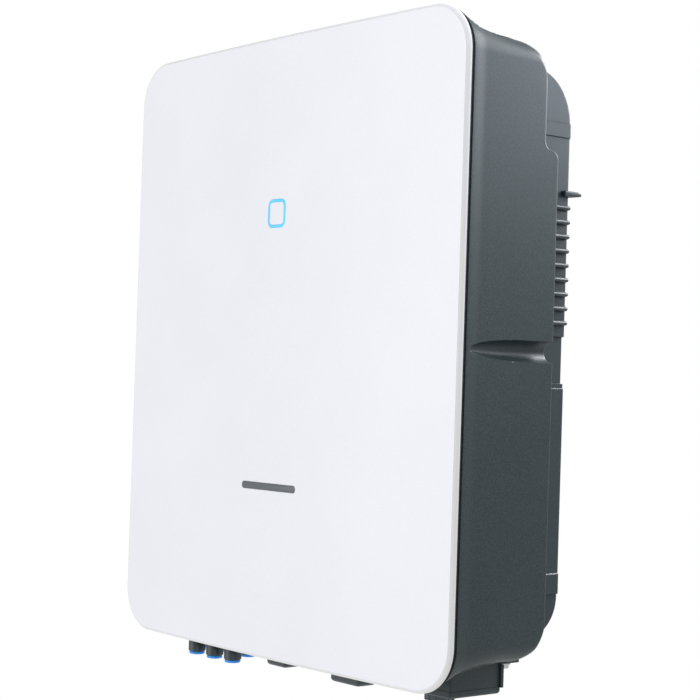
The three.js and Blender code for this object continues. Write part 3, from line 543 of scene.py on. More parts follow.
def coated(name, rgb, grain, contrast, roughness, bump, cloud, cloud_share, **surface):
    """A coat or moulding with a fine grain, slow clouding, and a bump of the same grain.

    grain and cloud are the sizes of the two patterns in millimetres, contrast and cloud_share how
    much they lighten and darken the colour; the roughness follows the grain."""
    material, tree, place = new_material(name)
    fine = add(tree, "ShaderNodeTexNoise", {
        "Vector": place, "Scale": per_mm(grain), "Detail": 2.0, "Roughness": 0.6,
    })
    slow = add(tree, "ShaderNodeTexNoise", {
        "Vector": place, "Scale": per_mm(cloud), "Detail": 2.0,
    })
    spread = blend_colours(tree, fine.outputs["Fac"], tinted(rgb, 1 - contrast), tinted(rgb, 1 + contrast))
    spread.color_ramp.elements[0].position = 0.34
    spread.color_ramp.elements[1].position = 0.66
    clouding = add(tree, "ShaderNodeMapRange", {
        "Value": slow.outputs["Fac"], "From Min": 0.3, "From Max": 0.7,
        "To Min": 1 - cloud_share, "To Max": 1 + cloud_share,
    })
    shaded = add(tree, "ShaderNodeVectorMath", {
        0: spread.outputs["Color"], "Scale": clouding.outputs["Result"],
    }, operation="SCALE")
    gloss = add(tree, "ShaderNodeMapRange", {
        "Value": fine.outputs["Fac"], "From Min": 0.3, "From Max": 0.7,
        "To Min": roughness - 0.06, "To Max": roughness + 0.06,
    })
    relief = add(tree, "ShaderNodeBump", {
        "Height": fine.outputs["Fac"], "Strength": bump, "Distance": 0.15 * MM,
    })
    shader = add(tree, "ShaderNodeBsdfPrincipled", {
        "Base Color": shaded.outputs["Vector"], "Roughness": gloss.outputs["Result"],
        "Normal": relief.outputs["Normal"], **surface,
    })
    add(tree, "ShaderNodeOutputMaterial", {"Surface": shader.outputs["BSDF"]})
    return material


def plated_metal(name, rgb, roughness, stretch, grain):
    """Bare or plated metal: fine lines left by drawing or turning, stretched along one axis."""
    material, tree, place = new_material(name)
    drawn = add(tree, "ShaderNodeMapping", {"Vector": place, "Scale": stretch})
    lines = add(tree, "ShaderNodeTexNoise", {
        "Vector": drawn.outputs["Vector"], "Scale": per_mm(grain), "Detail": 3.0,
    })
    tone = blend_colours(tree, lines.outputs["Fac"], tinted(rgb, 0.85), tinted(rgb, 1.1))
    gloss = add(tree, "ShaderNodeMapRange", {
        "Value": lines.outputs["Fac"], "To Min": roughness - 0.08, "To Max": roughness + 0.1,
    })
    relief = add(tree, "ShaderNodeBump", {
        "Height": lines.outputs["Fac"], "Strength": 0.15, "Distance": 0.05 * MM,
    })
    shader = add(tree, "ShaderNodeBsdfPrincipled", {
        "Base Color": tone.outputs["Color"], "Roughness": gloss.outputs["Result"],
        "Metallic": 1.0, "Normal": relief.outputs["Normal"],
    })
    add(tree, "ShaderNodeOutputMaterial", {"Surface": shader.outputs["BSDF"]})
    return material


def lit_polycarbonate():
    """Diffusing polycarbonate light guide, lit from behind: an even glow with a faint haze."""
    rgb = sizes("colours").light
    material, tree, place = new_material("lit polycarbonate light guide")
    haze = add(tree, "ShaderNodeTexNoise", {"Vector": place, "Scale": per_mm(6), "Detail": 1.0})
    tone = blend_colours(tree, haze.outputs["Fac"], tinted(rgb, 0.92), tinted(rgb, 1.08))
    shader = add(tree, "ShaderNodeBsdfPrincipled", {
        "Base Color": tone.outputs["Color"], "Roughness": 0.3, "IOR": 1.58,
        "Emission Color": tone.outputs["Color"], "Emission Strength": 0.35,
    })
    add(tree, "ShaderNodeOutputMaterial", {"Surface": shader.outputs["BSDF"]})
    return material


TRACK_PITCH = 8  # millimetres


def circuit_board():
    """FR-4 laminate with green solder mask: tracks show as a fine raised lattice under the mask."""
    material, tree, place = new_material("FR-4 with green solder mask")
    tracks = add(tree, "ShaderNodeTexBrick", {
        "Vector": add(tree, "ShaderNodeMapping", {
            "Vector": place, "Rotation": (math.radians(90), 0, 0),
        }).outputs["Vector"],
        "Scale": per_mm(TRACK_PITCH),
        "Color1": (*linear("#1d5b3a"), 1), "Color2": (*linear("#17492f"), 1),
        "Mortar": (*linear("#2c7a50"), 1), "Mortar Size": 0.06,
    })
    relief = add(tree, "ShaderNodeBump", {
        "Height": tracks.outputs["Fac"], "Strength": 0.3, "Distance": 0.05 * MM,
    })
    shader = add(tree, "ShaderNodeBsdfPrincipled", {
        "Base Color": tracks.outputs["Color"], "Roughness": 0.35, "IOR": 1.55,
        "Normal": relief.outputs["Normal"],
    })
    add(tree, "ShaderNodeOutputMaterial", {"Surface": shader.outputs["BSDF"]})
    return material


def clear_polycarbonate():
    """Moulded clear polycarbonate: transmits light, with faint flow haze."""
    material, tree, place = new_material("clear polycarbonate")
    haze = add(tree, "ShaderNodeTexNoise", {"Vector": place, "Scale": per_mm(4), "Detail": 1.0})
    gloss = add(tree, "ShaderNodeMapRange", {
        "Value": haze.outputs["Fac"], "To Min": 0.08, "To Max": 0.2,
    })
    shader = add(tree, "ShaderNodeBsdfPrincipled", {
        "Base Color": (*linear("#e6eef2"), 1), "Roughness": gloss.outputs["Result"],
        "IOR": 1.58, "Transmission Weight": 0.85,
    })
    add(tree, "ShaderNodeOutputMaterial", {"Surface": shader.outputs["BSDF"]})
    return material


def make_finishes():
    """Every finish by the record's slot name; the grain sizes are in millimetres."""
    shade = sizes("colours")
    return {
        # two-coat pearl lacquer on moulded ABS: satin, with a faint sparkle of mica in the top coat
        "panel_white": coated(
            "pearl lacquer on ABS", shade.panel, grain=1.1, contrast=0.018, roughness=0.34, bump=0.02,
            cloud=90, cloud_share=0.012, IOR=1.5, **{"Coat Weight": 0.35, "Coat Roughness": 0.22},
        ),
        # polyester powder coat on die-cast aluminium: a fine leather-like texture; the grain is drawn
        # coarser than the real 0.3 mm so that it shows at all
        "cast_housing": coated(
            "powder coat on die-cast aluminium", shade.casting, grain=1.3, contrast=0.36,
            roughness=0.44, bump=0.45, cloud=70, cloud_share=0.05, IOR=1.45,
        ),
        # the same powder on the finned casting, laid thinner: a finer, evener texture
        "cast_fins": coated(
            "powder coat on finned casting", shade.fins, grain=1.3, contrast=0.15,
            roughness=0.42, bump=0.25, cloud=50, cloud_share=0.06, IOR=1.45,
        ),
        # extruded EPDM: matt black with a slight bloom
        "rubber_black": coated(
            "EPDM rubber", linear("#15171a"), grain=0.8, contrast=0.2, roughness=0.75, bump=0.2,
            cloud=20, cloud_share=0.2, IOR=1.52,
        ),
        "light_ring": lit_polycarbonate(),
        # screen-printed grey on a satin label: flat and even
        "badge_grey": coated(
            "grey printed badge", shade.badge, grain=0.6, contrast=0.05, roughness=0.35, bump=0.05,
            cloud=15, cloud_share=0.04, IOR=1.5,
        ),
        # zinc-plated steel: pale, with the turning marks of the head
        "steel": plated_metal(
            "zinc-plated steel", linear("#c3c7ca"), roughness=0.3, stretch=(1, 1, 1), grain=0.5,
        ),
        # glass-filled polyamide, moulded with a spark-eroded texture: dull, softly grained black
        "plastic_black": coated(
            "glass-filled polyamide", shade.black, grain=0.7, contrast=0.15, roughness=0.36, bump=0.2,
            cloud=25, cloud_share=0.08, IOR=1.53,
        ),
        # moulded polypropylene: smooth and slightly waxy
        "plastic_blue": coated(
            "blue polypropylene", shade.blue, grain=0.6, contrast=0.05, roughness=0.38, bump=0.1,
            cloud=12, cloud_share=0.05, IOR=1.49,
        ),
        "clear_plastic": clear_polycarbonate(),
        "circuit_board": circuit_board(),
        # resin-potted choke cans with a filler that leaves the surface gritty
        "potted_core": coated(
            "filled potting resin", linear("#3c3f42"), grain=1.5, contrast=0.25, roughness=0.6,
            bump=0.5, cloud=20, cloud_share=0.1, IOR=1.55,
        ),
        # PET shrink sleeve: glossy black with soft ripples
        "capacitor_sleeve": coated(
            "PET shrink sleeve", linear("#2a2e33"), grain=3, contrast=0.08, roughness=0.22, bump=0.3,
            cloud=30, cloud_share=0.08, IOR=1.58,
        ),
        # mill-finish aluminium sheet: rolling lines along its length
        "sheet_aluminium": plated_metal(
            "mill-finish aluminium", linear("#b4b7b9"), roughness=0.36, stretch=(0.05, 1, 1), grain=0.4,
        ),
    }


FINISHES = {}


def finish(slot):
    """The material for a slot of the record, made once."""
    if not FINISHES:
        FINISHES.update(make_finishes())
    return FINISHES[slot]


# ---------------------------------------------------------------- front panel

def bow_at(x):
    """How far the panel's face has fallen back at a distance from its middle."""
    return mm(sizes("casing").panel_bow) * (x / PANEL_HALF) ** 2


def panel_outline(inset, **steps):
    """The panel's outline drawn in by a distance."""
    radius = max(mm(sizes("casing").panel_corner) - inset, 0.5)
    high = PANEL_HIGH - inset
    return rounded_outline(PANEL_HALF - inset, -high, high, radius, radius, **steps)


PANEL_STEPS = {"arc": 18, "uprights": evenly(-225, 225, 22), "level_steps": 30}
FACE_RINGS = 22


def panel_ring(inset, depth, bowed=True, scale=1.0):
    """A ring round the panel at a depth behind its face."""
    ring = []
    for x, z, _ in panel_outline(inset, **PANEL_STEPS):
        x, z = x * scale, z * scale
        ring.append((x, depth + (bow_at(x) if bowed else 0), z))
    return ring


def build_panel():
    """Front panel: its bowed face, hair line, bevel, rounded edge and rear pocket."""
    casing = sizes("casing")
    bevel, rim, skin_depth = mm(casing.panel_bevel), mm(casing.panel_rim), mm(casing.panel_skin)
    rings = [panel_ring(bevel + 0.5, 0, scale=s) for s in evenly(0.04, 1, FACE_RINGS)]
    # a hair line where the face meets the bevel, the bevel, and the rounded outer edge
    rings += [panel_ring(bevel + 0.4, 0.04), panel_ring(bevel + 0.25, 0.36), panel_ring(bevel, 0.36)]
    rings += [panel_ring(bevel - 0.15, 0.1)]
    crown = [(0.75, 0.38), (0.5, 0.9), (0.28, 1.5), (0.12, 2.1), (0.03, 2.7)]
    rings += [panel_ring(bevel * share, depth) for share, depth in crown]
    rings += [panel_ring(0, 3.1)]
    rings += [panel_ring(0, PANEL_REAR - 0.3, bowed=False), panel_ring(0.3, PANEL_REAR, bowed=False)]
    rings += [panel_ring(rim, PANEL_REAR, bowed=False)]
    rings += [panel_ring(rim, skin_depth, scale=s) for s in evenly(1, 0.05, 12)]
    shape = bmesh.new()
    skin(shape, rings)
    panel = piece_from_bmesh("panel_shell", shape, finish("panel_white"), 20)
    cutters = bmesh.new()
    ring_body(cutters, "status_ring", 0.3, -1, 1.4)
    bar_body(cutters, "badge_bar", 0.3, -1, 1.2)
    cut(panel, piece_from_bmesh("panel_recesses", cutters, None), 20)
    # the bevel and side edge take a greyer material: painted shade of the bevel
    panel.data.materials.append(bevel_painted_shade_finish())
    for face in panel.data.polygons:
        if on_shaded_bevel((face.center - CASE_ORIGIN) / MM):
            face.material_index = 1
    settle(panel, "panel_white", "front_panel")


def on_shaded_bevel(point):
    """True where a point of the panel lies on its bevel or side edge, the faces that take the painted bevel
    shade.
    """
    corner = mm(sizes("casing").panel_corner)
    across, up = abs(point.x) - PANEL_HALF + corner, abs(point.z) - PANEL_HIGH + corner
    inwards = corner - (math.hypot(across, up) if min(across, up) > 0 else max(across, up))
    return inwards < mm(sizes("casing").panel_bevel) + 0.1 and point.y < PANEL_REAR - 0.2


def bevel_painted_shade_finish():
    """The panel's lacquer on the bevel, painted greyer than the face as painted shade where the bevel turns
    from the light; satin, slightly metallic and a little sharper in its highlights.
    """
    return coated(
        "lacquer with painted bevel shade", sizes("colours").bevel, grain=0.8, contrast=0.03, roughness=0.3,
        bump=0.03, cloud=40, cloud_share=0.02, IOR=1.5, Metallic=0.25,
    )


def ring_body(shape, node_name, grow, front, rear, bevel=0.0):
    """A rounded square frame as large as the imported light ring."""
    low, high = case_box(node_name)
    middle_z = (low.z + high.z) / 2
    half = (high.x - low.x) / 2

    def loop(inset, y):
        size, radius = half - inset, max(RING_CORNER - inset, 0.6)
        return [(x, y, middle_z + z) for x, z, _ in rounded_outline(size, -size, size, radius, radius)]

    outer, inner = -grow, RING_LINE + grow
    section = [
        (outer + bevel, front), (outer, front + bevel), (outer, rear), (inner, rear),
        (inner, front + bevel), (inner - bevel, front),
    ]
    skin(shape, [loop(inset, y) for inset, y in section], closed_loop=True)


def bar_body(shape, node_name, grow, front, rear, bevel=0.0):
    """A plain bar with round ends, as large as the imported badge."""
    low, high = case_box(node_name)
    middle_z = (low.z + high.z) / 2
    half, tall = (high.x - low.x) / 2 + grow, (high.z - low.z) / 2 + grow
    rings = []
    for inset, y in ((bevel, front), (bevel * 0.3, front + bevel * 0.3), (0, front + bevel), (0, rear)):
        high_in, radius = tall - inset, tall - inset - 0.05
        outline = rounded_outline(half - inset, -high_in, high_in, radius, radius, arc=8)
        rings.append([(x, y, middle_z + z) for x, z, _ in outline])
    skin(shape, rings)


def build_status_ring():
    """Light ring, a rounded square frame."""
    low, high = case_box("status_ring")
    shape = bmesh.new()
    ring_body(shape, "status_ring", 0, low.y, high.y, 0.25)
    finished("status_light", shape, "light_ring", "status_ring")


def build_badge():
    """Plain bar with round ends."""
    low, high = case_box("badge_bar")
    shape = bmesh.new()
    bar_body(shape, "badge_bar", 0, low.y, high.y, 0.3)
    finished("plain_badge", shape, "badge_grey", "badge_bar")


def build_gasket():
    """Rubber strip between the panel and the housing."""
    low, high = case_box("panel_gasket")
    inset = PANEL_HALF - high.x
    section = [
        (inset, low.y), (inset - 0.3, high.y), (inset, high.y + 1.7),
        (inset + 1.6, high.y + 1.7), (inset + 1.6, high.y), (inset + 5, high.y), (inset + 5, low.y),
    ]
    shape = bmesh.new()
    skin(shape, [panel_ring(i, y, bowed=False) for i, y in section], closed_loop=True)
    finished("panel_seal", shape, "rubber_black", "panel_gasket")


# ---------------------------------------------------------------- housing

def rear_upper():
    """Depth of the side walls' rear edge beside the upper fins."""
    return REAR_LOWER - mm(sizes("casing").notch_rise)


def rear_edge(z):
    """Depth of the side walls' rear edge at a height: an S-curve joins its two levels."""
    casing = sizes("casing")
    level, radius = mm(casing.notch_height), mm(casing.notch_radius)
    upper = rear_upper()
    rise = z - level
    if rise >= radius:
        return upper
    if rise <= -radius:
        return REAR_LOWER
    if rise >= 0:
        return upper + radius - math.sqrt(max(radius ** 2 - (radius - rise) ** 2, 0))
    return REAR_LOWER - radius + math.sqrt(max(radius ** 2 - (radius + rise) ** 2, 0))


def wall_height(y, edge):
    """Height of the top wall above the panel's middle, at a depth."""
    casing = sizes("casing")
    roof = HOUSING_HIGH.z - mm(casing.top_drop)
    fall = min(max((y - HOUSING_FRONT) / mm(casing.drop_depth), 0), 1)
    swept = roof + mm(casing.top_drop) * (1 - fall) ** casing.drop_curve
    radius = mm(casing.rear_radius)
    turn = min(max(y - (edge - radius), 0), radius)
    return swept - radius + math.sqrt(radius ** 2 - turn ** 2)


def grip_depth(y, z, grow):
    """Depth of the finger groove: a round-nosed hollow that runs out at the rear edge."""
    grip = sizes("grip")
    deep, half, taper = mm(grip.depth) + grow, mm(grip.height) / 2 + grow, mm(grip.taper) + grow
    full = HOUSING_FRONT + mm(grip.nose) + mm(grip.taper)
    along = min(y - full, 0) / taper
    share = 1 - along ** 2 - ((z - mm(grip.level)) / half) ** 2
    return deep * math.sqrt(share) if share > 0 else 0.0


def scoop_depth(y, angle):
    """Depth of the lens-shaped scoop along the corner between a side wall and a swept wall."""
    grip = sizes("grip")
    reach, width = mm(grip.scoop_length) / 2, math.radians(SCOOP_WIDTH)
    along = (y - HOUSING_FRONT - 1 - reach) / reach
    corner = math.asin(abs(math.sin(angle)))
    across = (corner - math.radians(SCOOP_ANGLE) - 0.1 * along) / width
    share = 1 - along ** 2 - across ** 2
    return mm(grip.scoop_depth) * share ** 0.5 if share > 0 else 0.0


def on_side_wall(angle):
    """True where the way outwards is straight to a side."""
    return abs(math.cos(angle)) > 0.999


def dent(y, z, angle, grow):
    """How deep the grips and corner scoops are at a point of the casting's skin."""
    if on_side_wall(angle):
        reached = min(-grow / mm(sizes("casing").wall), 1)
        depth = max(grip_depth(y, z, mm(sizes("grip").wall) * reached) + grow, 0)
    else:
        depth = scoop_depth(y, angle)
    soft = mm(sizes("grip").rim)
    return depth * depth / (depth + soft) if depth > 0 else 0.0


def casting_rows():
    """Heights of the rows of points up a side wall, closer together at the grip and the S-curve."""
    level = mm(sizes("casing").notch_height)
    grip = mm(sizes("grip").level)
    rows = [
        z for z in evenly(-205, 205, 44)
        if abs(z - grip) > GRIP_ZONE + 0.5 and abs(z - level) > NOTCH_ZONE + 0.5
    ]
    rows += evenly(grip - GRIP_ZONE, grip + GRIP_ZONE, 44)
    return sorted(rows + evenly(level - NOTCH_ZONE, level + NOTCH_ZONE, 24))


def casting_ring(depth_at, grow, rows, arc=36, level_steps=26, dented=True):
    """One ring round the casting; depth_at(edge) gives its depth where the rear edge is at edge."""
    casing = sizes("casing")
    corner, least = mm(casing.corner_height), mm(casing.least_corner)
    upper, lower = depth_at(rear_upper()), depth_at(REAR_LOWER)
    high = wall_height(upper, rear_upper()) + grow
    low = -wall_height(lower, REAR_LOWER) - grow
    radius = lambda z: max(z - corner, least + grow)
    front_half = HOUSING_HIGH.x + grow
    ring = []
    corners = radius(-low), radius(high)
    for x, z, angle in rounded_outline(front_half, low, high, *corners, arc, rows, level_steps):
        if on_side_wall(angle):
            y = depth_at(rear_edge(z))
        else:
            y = upper if z > 0 else lower
        flare = mm(casing.flare) * smooth_step(y, HOUSING_FRONT, HOUSING_FRONT + mm(casing.flare_depth))
        x -= math.copysign(flare, x) * min(abs(x) / (front_half - FLARE_EASE), 1)
        deep = dent(y, z, angle, grow) if dented else 0.0
        if not grow and abs(math.cos(angle)) > 0.5:
            deep += fillet(rear_edge(z) - y, mm(casing.edge_round))
        ring.append((x - deep * math.cos(angle), y, z - deep * math.sin(angle)))
    return ring


def fillet(distance, radius):
    """How far a rounded edge has fallen away, at a distance from the edge."""
    if distance >= radius:
        return 0.0
    return radius - math.sqrt(max(radius ** 2 - (radius - max(distance, 0)) ** 2, 0))


def scaled(ring, share):
    """A ring shrunk towards the case's middle line."""
    return [(x * share, y, z * share) for x, y, z in ring]


def casting_skin(grow, front, steps, turns, rows):
    """Rings of the casting from its front wall to its rear edge."""
    casing = sizes("casing")
    radius = mm(casing.rear_radius)
    body = [casting_ring(
        lambda edge, share=share: front + share * (edge - radius - front), grow, rows,
    ) for share in evenly(0.025, 1, steps)]
    body += [casting_ring(
        lambda edge, turn=turn: edge - radius + radius * math.sin(turn), grow, rows,
    ) for turn in evenly(0, math.pi / 2, turns)[1:]]
    return body


def build_housing():
    """Cast case: outer skin, seam lip, rear edge and inner skin, with its holes cut."""
    casing = sizes("casing")
    rows = casting_rows()
    wall, soft = mm(casing.wall), mm(casing.edge_round)
    lip, lip_depth = mm(casing.seam_lip), mm(casing.seam_depth)
    edge = [casting_ring(lambda _, depth=depth: depth, -lip, rows, dented=False)
            for depth in (HOUSING_FRONT, HOUSING_FRONT + lip_depth)]
    for turn in evenly(0, math.pi / 2, 3)[:-1]:
        inset, depth = 0.5 * (1 - math.sin(turn)), lip_depth + 0.5 * (1 - math.cos(turn))
        edge.append(casting_ring(lambda _, depth=depth: HOUSING_FRONT + depth, -inset, rows, dented=False))
    rings = [scaled(edge[0], share) for share in (0.3, 0.7, 0.93)]
    rings += edge + casting_skin(0, HOUSING_FRONT + lip_depth + 0.5, 54, 14, rows)
    at_rear = lambda rear: rear
    rings += [casting_ring(at_rear, -soft, rows), casting_ring(at_rear, 0.5 - wall, rows)]
    inside = casting_skin(-wall, HOUSING_FRONT + wall, 40, 8, rows)
    rings += list(reversed(inside))
    inner_front = casting_ring(lambda _: HOUSING_FRONT + wall, -wall, rows, dented=False)
    rings += [inner_front] + [scaled(inner_front, share) for share in (0.93, 0.7, 0.3)]
    shape = bmesh.new()
    skin(shape, rings)
    housing = piece_from_bmesh("cast_case", shape, finish("cast_housing"), 38)
    cut(housing, housing_holes(), 38)
    settle(housing, "cast_housing", "housing")


def housing_holes():
    """Cutters for the sockets, the shaft, the vent, the light guide and the panel's clips."""
    shape = bmesh.new()
    floor = -wall_height(REAR_LOWER - 30, REAR_LOWER)
    radii = {**dict.fromkeys(SOCKET_NAMES, 6.4), "isolator_shaft": 4.4, "vent_plug": 5.4}
    for name, radius in radii.items():
        centre = middle(name)
        turned(shape, centre.x, centre.y, [(radius, floor - 14), (radius, floor + 12)], 32)
    for name in ("light_guide", *(f"panel_clip_{i}" for i in range(1, 5))):
        low, high = case_box(name)
        gap = Vector((0.3, 0, 0.3))
        low, high = low - gap, high + gap
        low.y, high.y = HOUSING_FRONT - 2, HOUSING_FRONT + 8
        block(shape, low, high)
    return piece_from_bmesh("housing_holes", shape, None)


def build_ledge():
    """The flange inside the casting that the seal and the finned casting are screwed against."""
    rear = SEAL_LOW.y - 0.3
    front = rear - 3
    rows = [z for z in casting_rows() if abs(z) < 170]
    outer = [casting_ring(lambda _, y=y: y, -1.2, rows, 8, 12) for y in (front, rear)]
    width = 8
    half, low, high = SEAL_HIGH.x - width, SEAL_LOW.z + width, SEAL_HIGH.z - width
    inner = []
    for y in (rear, front):
        outline = rounded_outline(half, low, high, 14, 14, 8, rows, 12)
        inner.append([(x, y, z) for x, z, _ in outline])
    shape = bmesh.new()
    skin(shape, [outer[0], outer[1], inner[0], inner[1]], closed_loop=True)
    finished("case_ledge", shape, "cast_housing")


# ---------------------------------------------------------------- finned casting

def fin_rear(z, inset, recessed=True):
    """Depth of a fin's rear edge at a height, with its rounded corners and the rail's recess."""
    sink = sizes("sink")
    rear = SINK_HIGH.y - inset
    top, bottom = SINK_HIGH.z - inset, SINK_LOW.z + inset
    upper, lower = mm(sink.corner_top), mm(sink.corner_bottom)
    if recessed and RAIL_LOW.z - RAIL_GAP < z < RAIL_HIGH.z + RAIL_GAP:
        return RAIL_LOW.y - RAIL_GAP
    if z > top - upper:
        return rear - upper + math.sqrt(max(upper ** 2 - (z - top + upper) ** 2, 0))
    if z < bottom + lower:
        return rear - lower + math.sqrt(max(lower ** 2 - (bottom + lower - z) ** 2, 0))
    return rear


def fin_front(z):
    """Depth of a fin's front edge at a height: it steps back round the housing's rear edges."""
    if z > UPPER_STEP:
        return rear_upper() + FIN_GAP
    if z < LOWER_STEP:
        return REAR_LOWER + FIN_GAP
    return PLATE_REAR - FIN_GAP


def fin_rows(inset, fine):
    """Heights where a fin's outline turns: its two corners, and both sides of each step."""
    top, bottom = SINK_HIGH.z - inset, SINK_LOW.z + inset
    sink = sizes("sink")
    curve = [math.radians(a) for a in evenly(0, 90, fine)]
    upper = [top - mm(sink.corner_top) * (1 - math.sin(a)) for a in curve]
    lower = [bottom + mm(sink.corner_bottom) * (1 - math.sin(a)) for a in curve]
    steps = [UPPER_STEP, LOWER_STEP, RAIL_LOW.z - RAIL_GAP, RAIL_HIGH.z + RAIL_GAP]
    around = [s + d for s in steps for d in (-0.05, 0.05)]
    return upper, lower, around


def smooth_step(value, start, end):
    """0 before the start, 1 past the end, and a soft curve between."""
    share = min(max((value - start) / (end - start), 0), 1)
    return share * share * (3 - 2 * share)


def side_lands():
    """Lands of the outermost fins: lowest and highest point, how far they stand out, front edge."""
    start = REAR_LOWER + 2
    return (
        (SINK_HIGH.z - 54, SINK_HIGH.z - 42, 1.0, rear_upper() + 3),
        (SINK_LOW.z + 52, -29, 0.8, start),
        (SINK_LOW.z + 35, SINK_LOW.z + 52, 1.6, start),
        (-25, 14, -2.6, REAR_LOWER + 6),
    )


def side_relief(y, z):
    """How far the outermost fin's outer face stands out: a band, two low lands and a finger patch."""
    soft, relief = LAND_EDGE, 0.0
    for low, high, height, front in side_lands():
        up = smooth_step(z, low - soft, low + soft) * (1 - smooth_step(z, high - soft, high + soft))
        relief += height * up * smooth_step(y, front - soft, front + soft)
    return relief


def side_fin(side):
    """The outermost fin on one side, a grid of points on each of its faces."""
    sink = sizes("sink")
    upper, lower, around = fin_rows(0, 16)
    details = [z for low, high, _, _ in side_lands() for z in (low, high)]
    near = [d + s for d in details for s in (-0.5, -LAND_EDGE, -0.12, 0.12, LAND_EDGE, 0.5)]
    plain = [z for z in evenly(-190, 190, 60) if min(abs(z - n) for n in near) > 1.5]
    rows = sorted(set(upper + lower + around + near + plain))
    front = PLATE_REAR - FIN_GAP
    start = (REAR_LOWER + 2 - front) / (SINK_HIGH.y - front)
    shares = sorted({*evenly(0, 1, 22), start - 0.01, start + 0.01, 0.985, 0.97, 0.95, 0.995})
    thick = mm(sink.side_fin)
    shape = bmesh.new()
    outer, inner = [], []
    for z in rows:
        front, rear = fin_front(z), fin_rear(z, 0, False)
        top_gap = min(SINK_HIGH.z - z, z - SINK_LOW.z)
        outer_row, inner_row = [], []
        for share in shares:
            y = front + share * (rear - front)
            fall = max(fillet(rear - y, 1.2), fillet(top_gap, 1.2))
            x = SIDE_FACE + side_relief(y, z) - fall
            outer_row.append(shape.verts.new((side * x, y, z)))
            inner_row.append(shape.verts.new((side * (SIDE_FACE - thick + fall * 0.6), y, z)))
        outer.append(outer_row)
        inner.append(inner_row)
    count, width = len(rows), len(shares)
    for grid in (outer, inner):
        for r in range(count - 1):
            for c in range(width - 1):
                shape.faces.new((grid[r][c], grid[r][c + 1], grid[r + 1][c + 1], grid[r + 1][c]))
    for r in range(count - 1):
        for c in (0, width - 1):
            shape.faces.new((outer[r][c], outer[r + 1][c], inner[r + 1][c], inner[r][c]))
    for c in range(width - 1):
        for r in (0, count - 1):
            shape.faces.new((outer[r][c], outer[r][c + 1], inner[r][c + 1], inner[r][c]))
    name = "side_fin_right" if side > 0 else "side_fin_left"
    return piece_from_bmesh(name, shape, finish("cast_fins"), 40)


def fin_outline(inset):
    """An inner fin's outline seen from the side, as (depth, height)."""
    upper, lower, around = fin_rows(inset, 8)
    rows = sorted(set(upper + lower + around + evenly(-185, 185, 6)))
    front = [(fin_front(z), z) for z in rows if z in around or z in (rows[0], rows[-1])]
    rear = [(fin_rear(z, inset), z) for z in reversed(rows)]
    return front + rear


def build_fins():
    """The inner fins, set out across the base plate by Geometry Nodes."""
    sink = sizes("sink")
    thick = mm(sink.fin)
    shape = bmesh.new()
    prism(shape, fin_outline(1.5), "x", -thick / 2, thick / 2, 0.7, 3)
    source = piece_from_bmesh("fin", shape, None, 40)
    span = 2 * SIDE_FACE - mm(sink.side_fin)
    pitch = span / (sink.fin_count - 1)
    fins = repeated(
        "inner_fins", source, finish("cast_fins"), (pitch - span / 2, 0, 0),
        sink.fin_count - 2, (pitch, 0, 0), angle=40,
    )
    settle(fins, "cast_fins", "heat_sink")
    for side in (-1, 1):
        settle(side_fin(side), "cast_fins")


def build_base():
    """Base plate of the finned casting, and the bar across the fins that the rail is screwed to."""
    outline = rounded_outline(SINK_HIGH.x, BASE_BOTTOM, BASE_TOP, 18, 18, 10, evenly(-170, 170, 10))
    shape = bmesh.new()
    prism(shape, [(x, z) for x, z, _ in outline], "y", PLATE_REAR - PLATE, PLATE_REAR, 0.8, 3)
    seat = RAIL_HIGH.z - 12
    half = SIDE_FACE - 1
    front = RAIL_LOW.y - 3.3
    block(shape, (-half, front, seat - 6), (half, front + 2.8, seat + 6), 0.6)
    finished("sink_base", shape, "cast_fins")


def build_ribs():
    """Short ribs on the two outer faces, set out by Geometry Nodes."""
    sink = sizes("sink")
    start, reach = REAR_LOWER + 2, RAIL_HIGH.x - SIDE_FACE
    first = RAIL_SHELF - mm(sink.rib_drop)
    for side, name in ((1, "side_ribs_right"), (-1, "side_ribs_left")):
        shape = bmesh.new()
        rib_body(shape, side, mm(sink.rib) / 2, start, SINK_HIGH.y, reach)
        source = piece_from_bmesh("rib", shape, None, 50)
        ribs = repeated(
            name, source, finish("cast_fins"), (0, 0, first), sink.rib_count,
            (0, 0, -mm(sink.rib_pitch)), angle=50,
        )
        settle(ribs, "cast_fins")


def rib_body(shape, side, half, start, end, reach):
    """A rib with a rounded crest, drafted towards its crest and rounded at its rear end."""
    rings = []
    nose = half * 1.6
    stations = [(start, 1.0), (end - nose, 1.0)]
    stations += [(end - nose * (1 - math.sin(a)), math.cos(a)) for a in evenly(0.2, 1.45, 5)]
    for y, share in stations:
        ring = []
        tip = SIDE_FACE + reach * (0.4 + 0.6 * share)
        tall = half * (0.35 + 0.65 * share)
        root = tall * 1.25
        for a in evenly(-90, 90, 10):
            angle = math.radians(a)
            ring.append((side * (tip - tall * (1 - math.cos(angle))), y, tall * math.sin(angle)))
        feet = ((0.4, root), (-1, root + 0.5), (-1, -root - 0.5), (0.4, -root))
        rings.append(ring + [(side * (SIDE_FACE + out), y, z) for out, z in feet])
    skin(shape, rings)


# ---------------------------------------------------------------- hanging rail, pads and screws

def rounded_polygon(points, radius, steps=4):
    """A polygon with each corner rounded off by a short curve."""
    drawn = []
    count = len(points)
    for i in range(count):
        here, before, after = Vector(points[i]), Vector(points[i - 1]), Vector(points[(i + 1) % count])
        reach = min(radius, (before - here).length * 0.45, (after - here).length * 0.45)
        start = here + (before - here).normalized() * reach
        end = here + (after - here).normalized() * reach
        for t in evenly(0, 1, steps):
            drawn.append(tuple(start * (1 - t) ** 2 + here * 2 * t * (1 - t) + end * t * t))
    return drawn


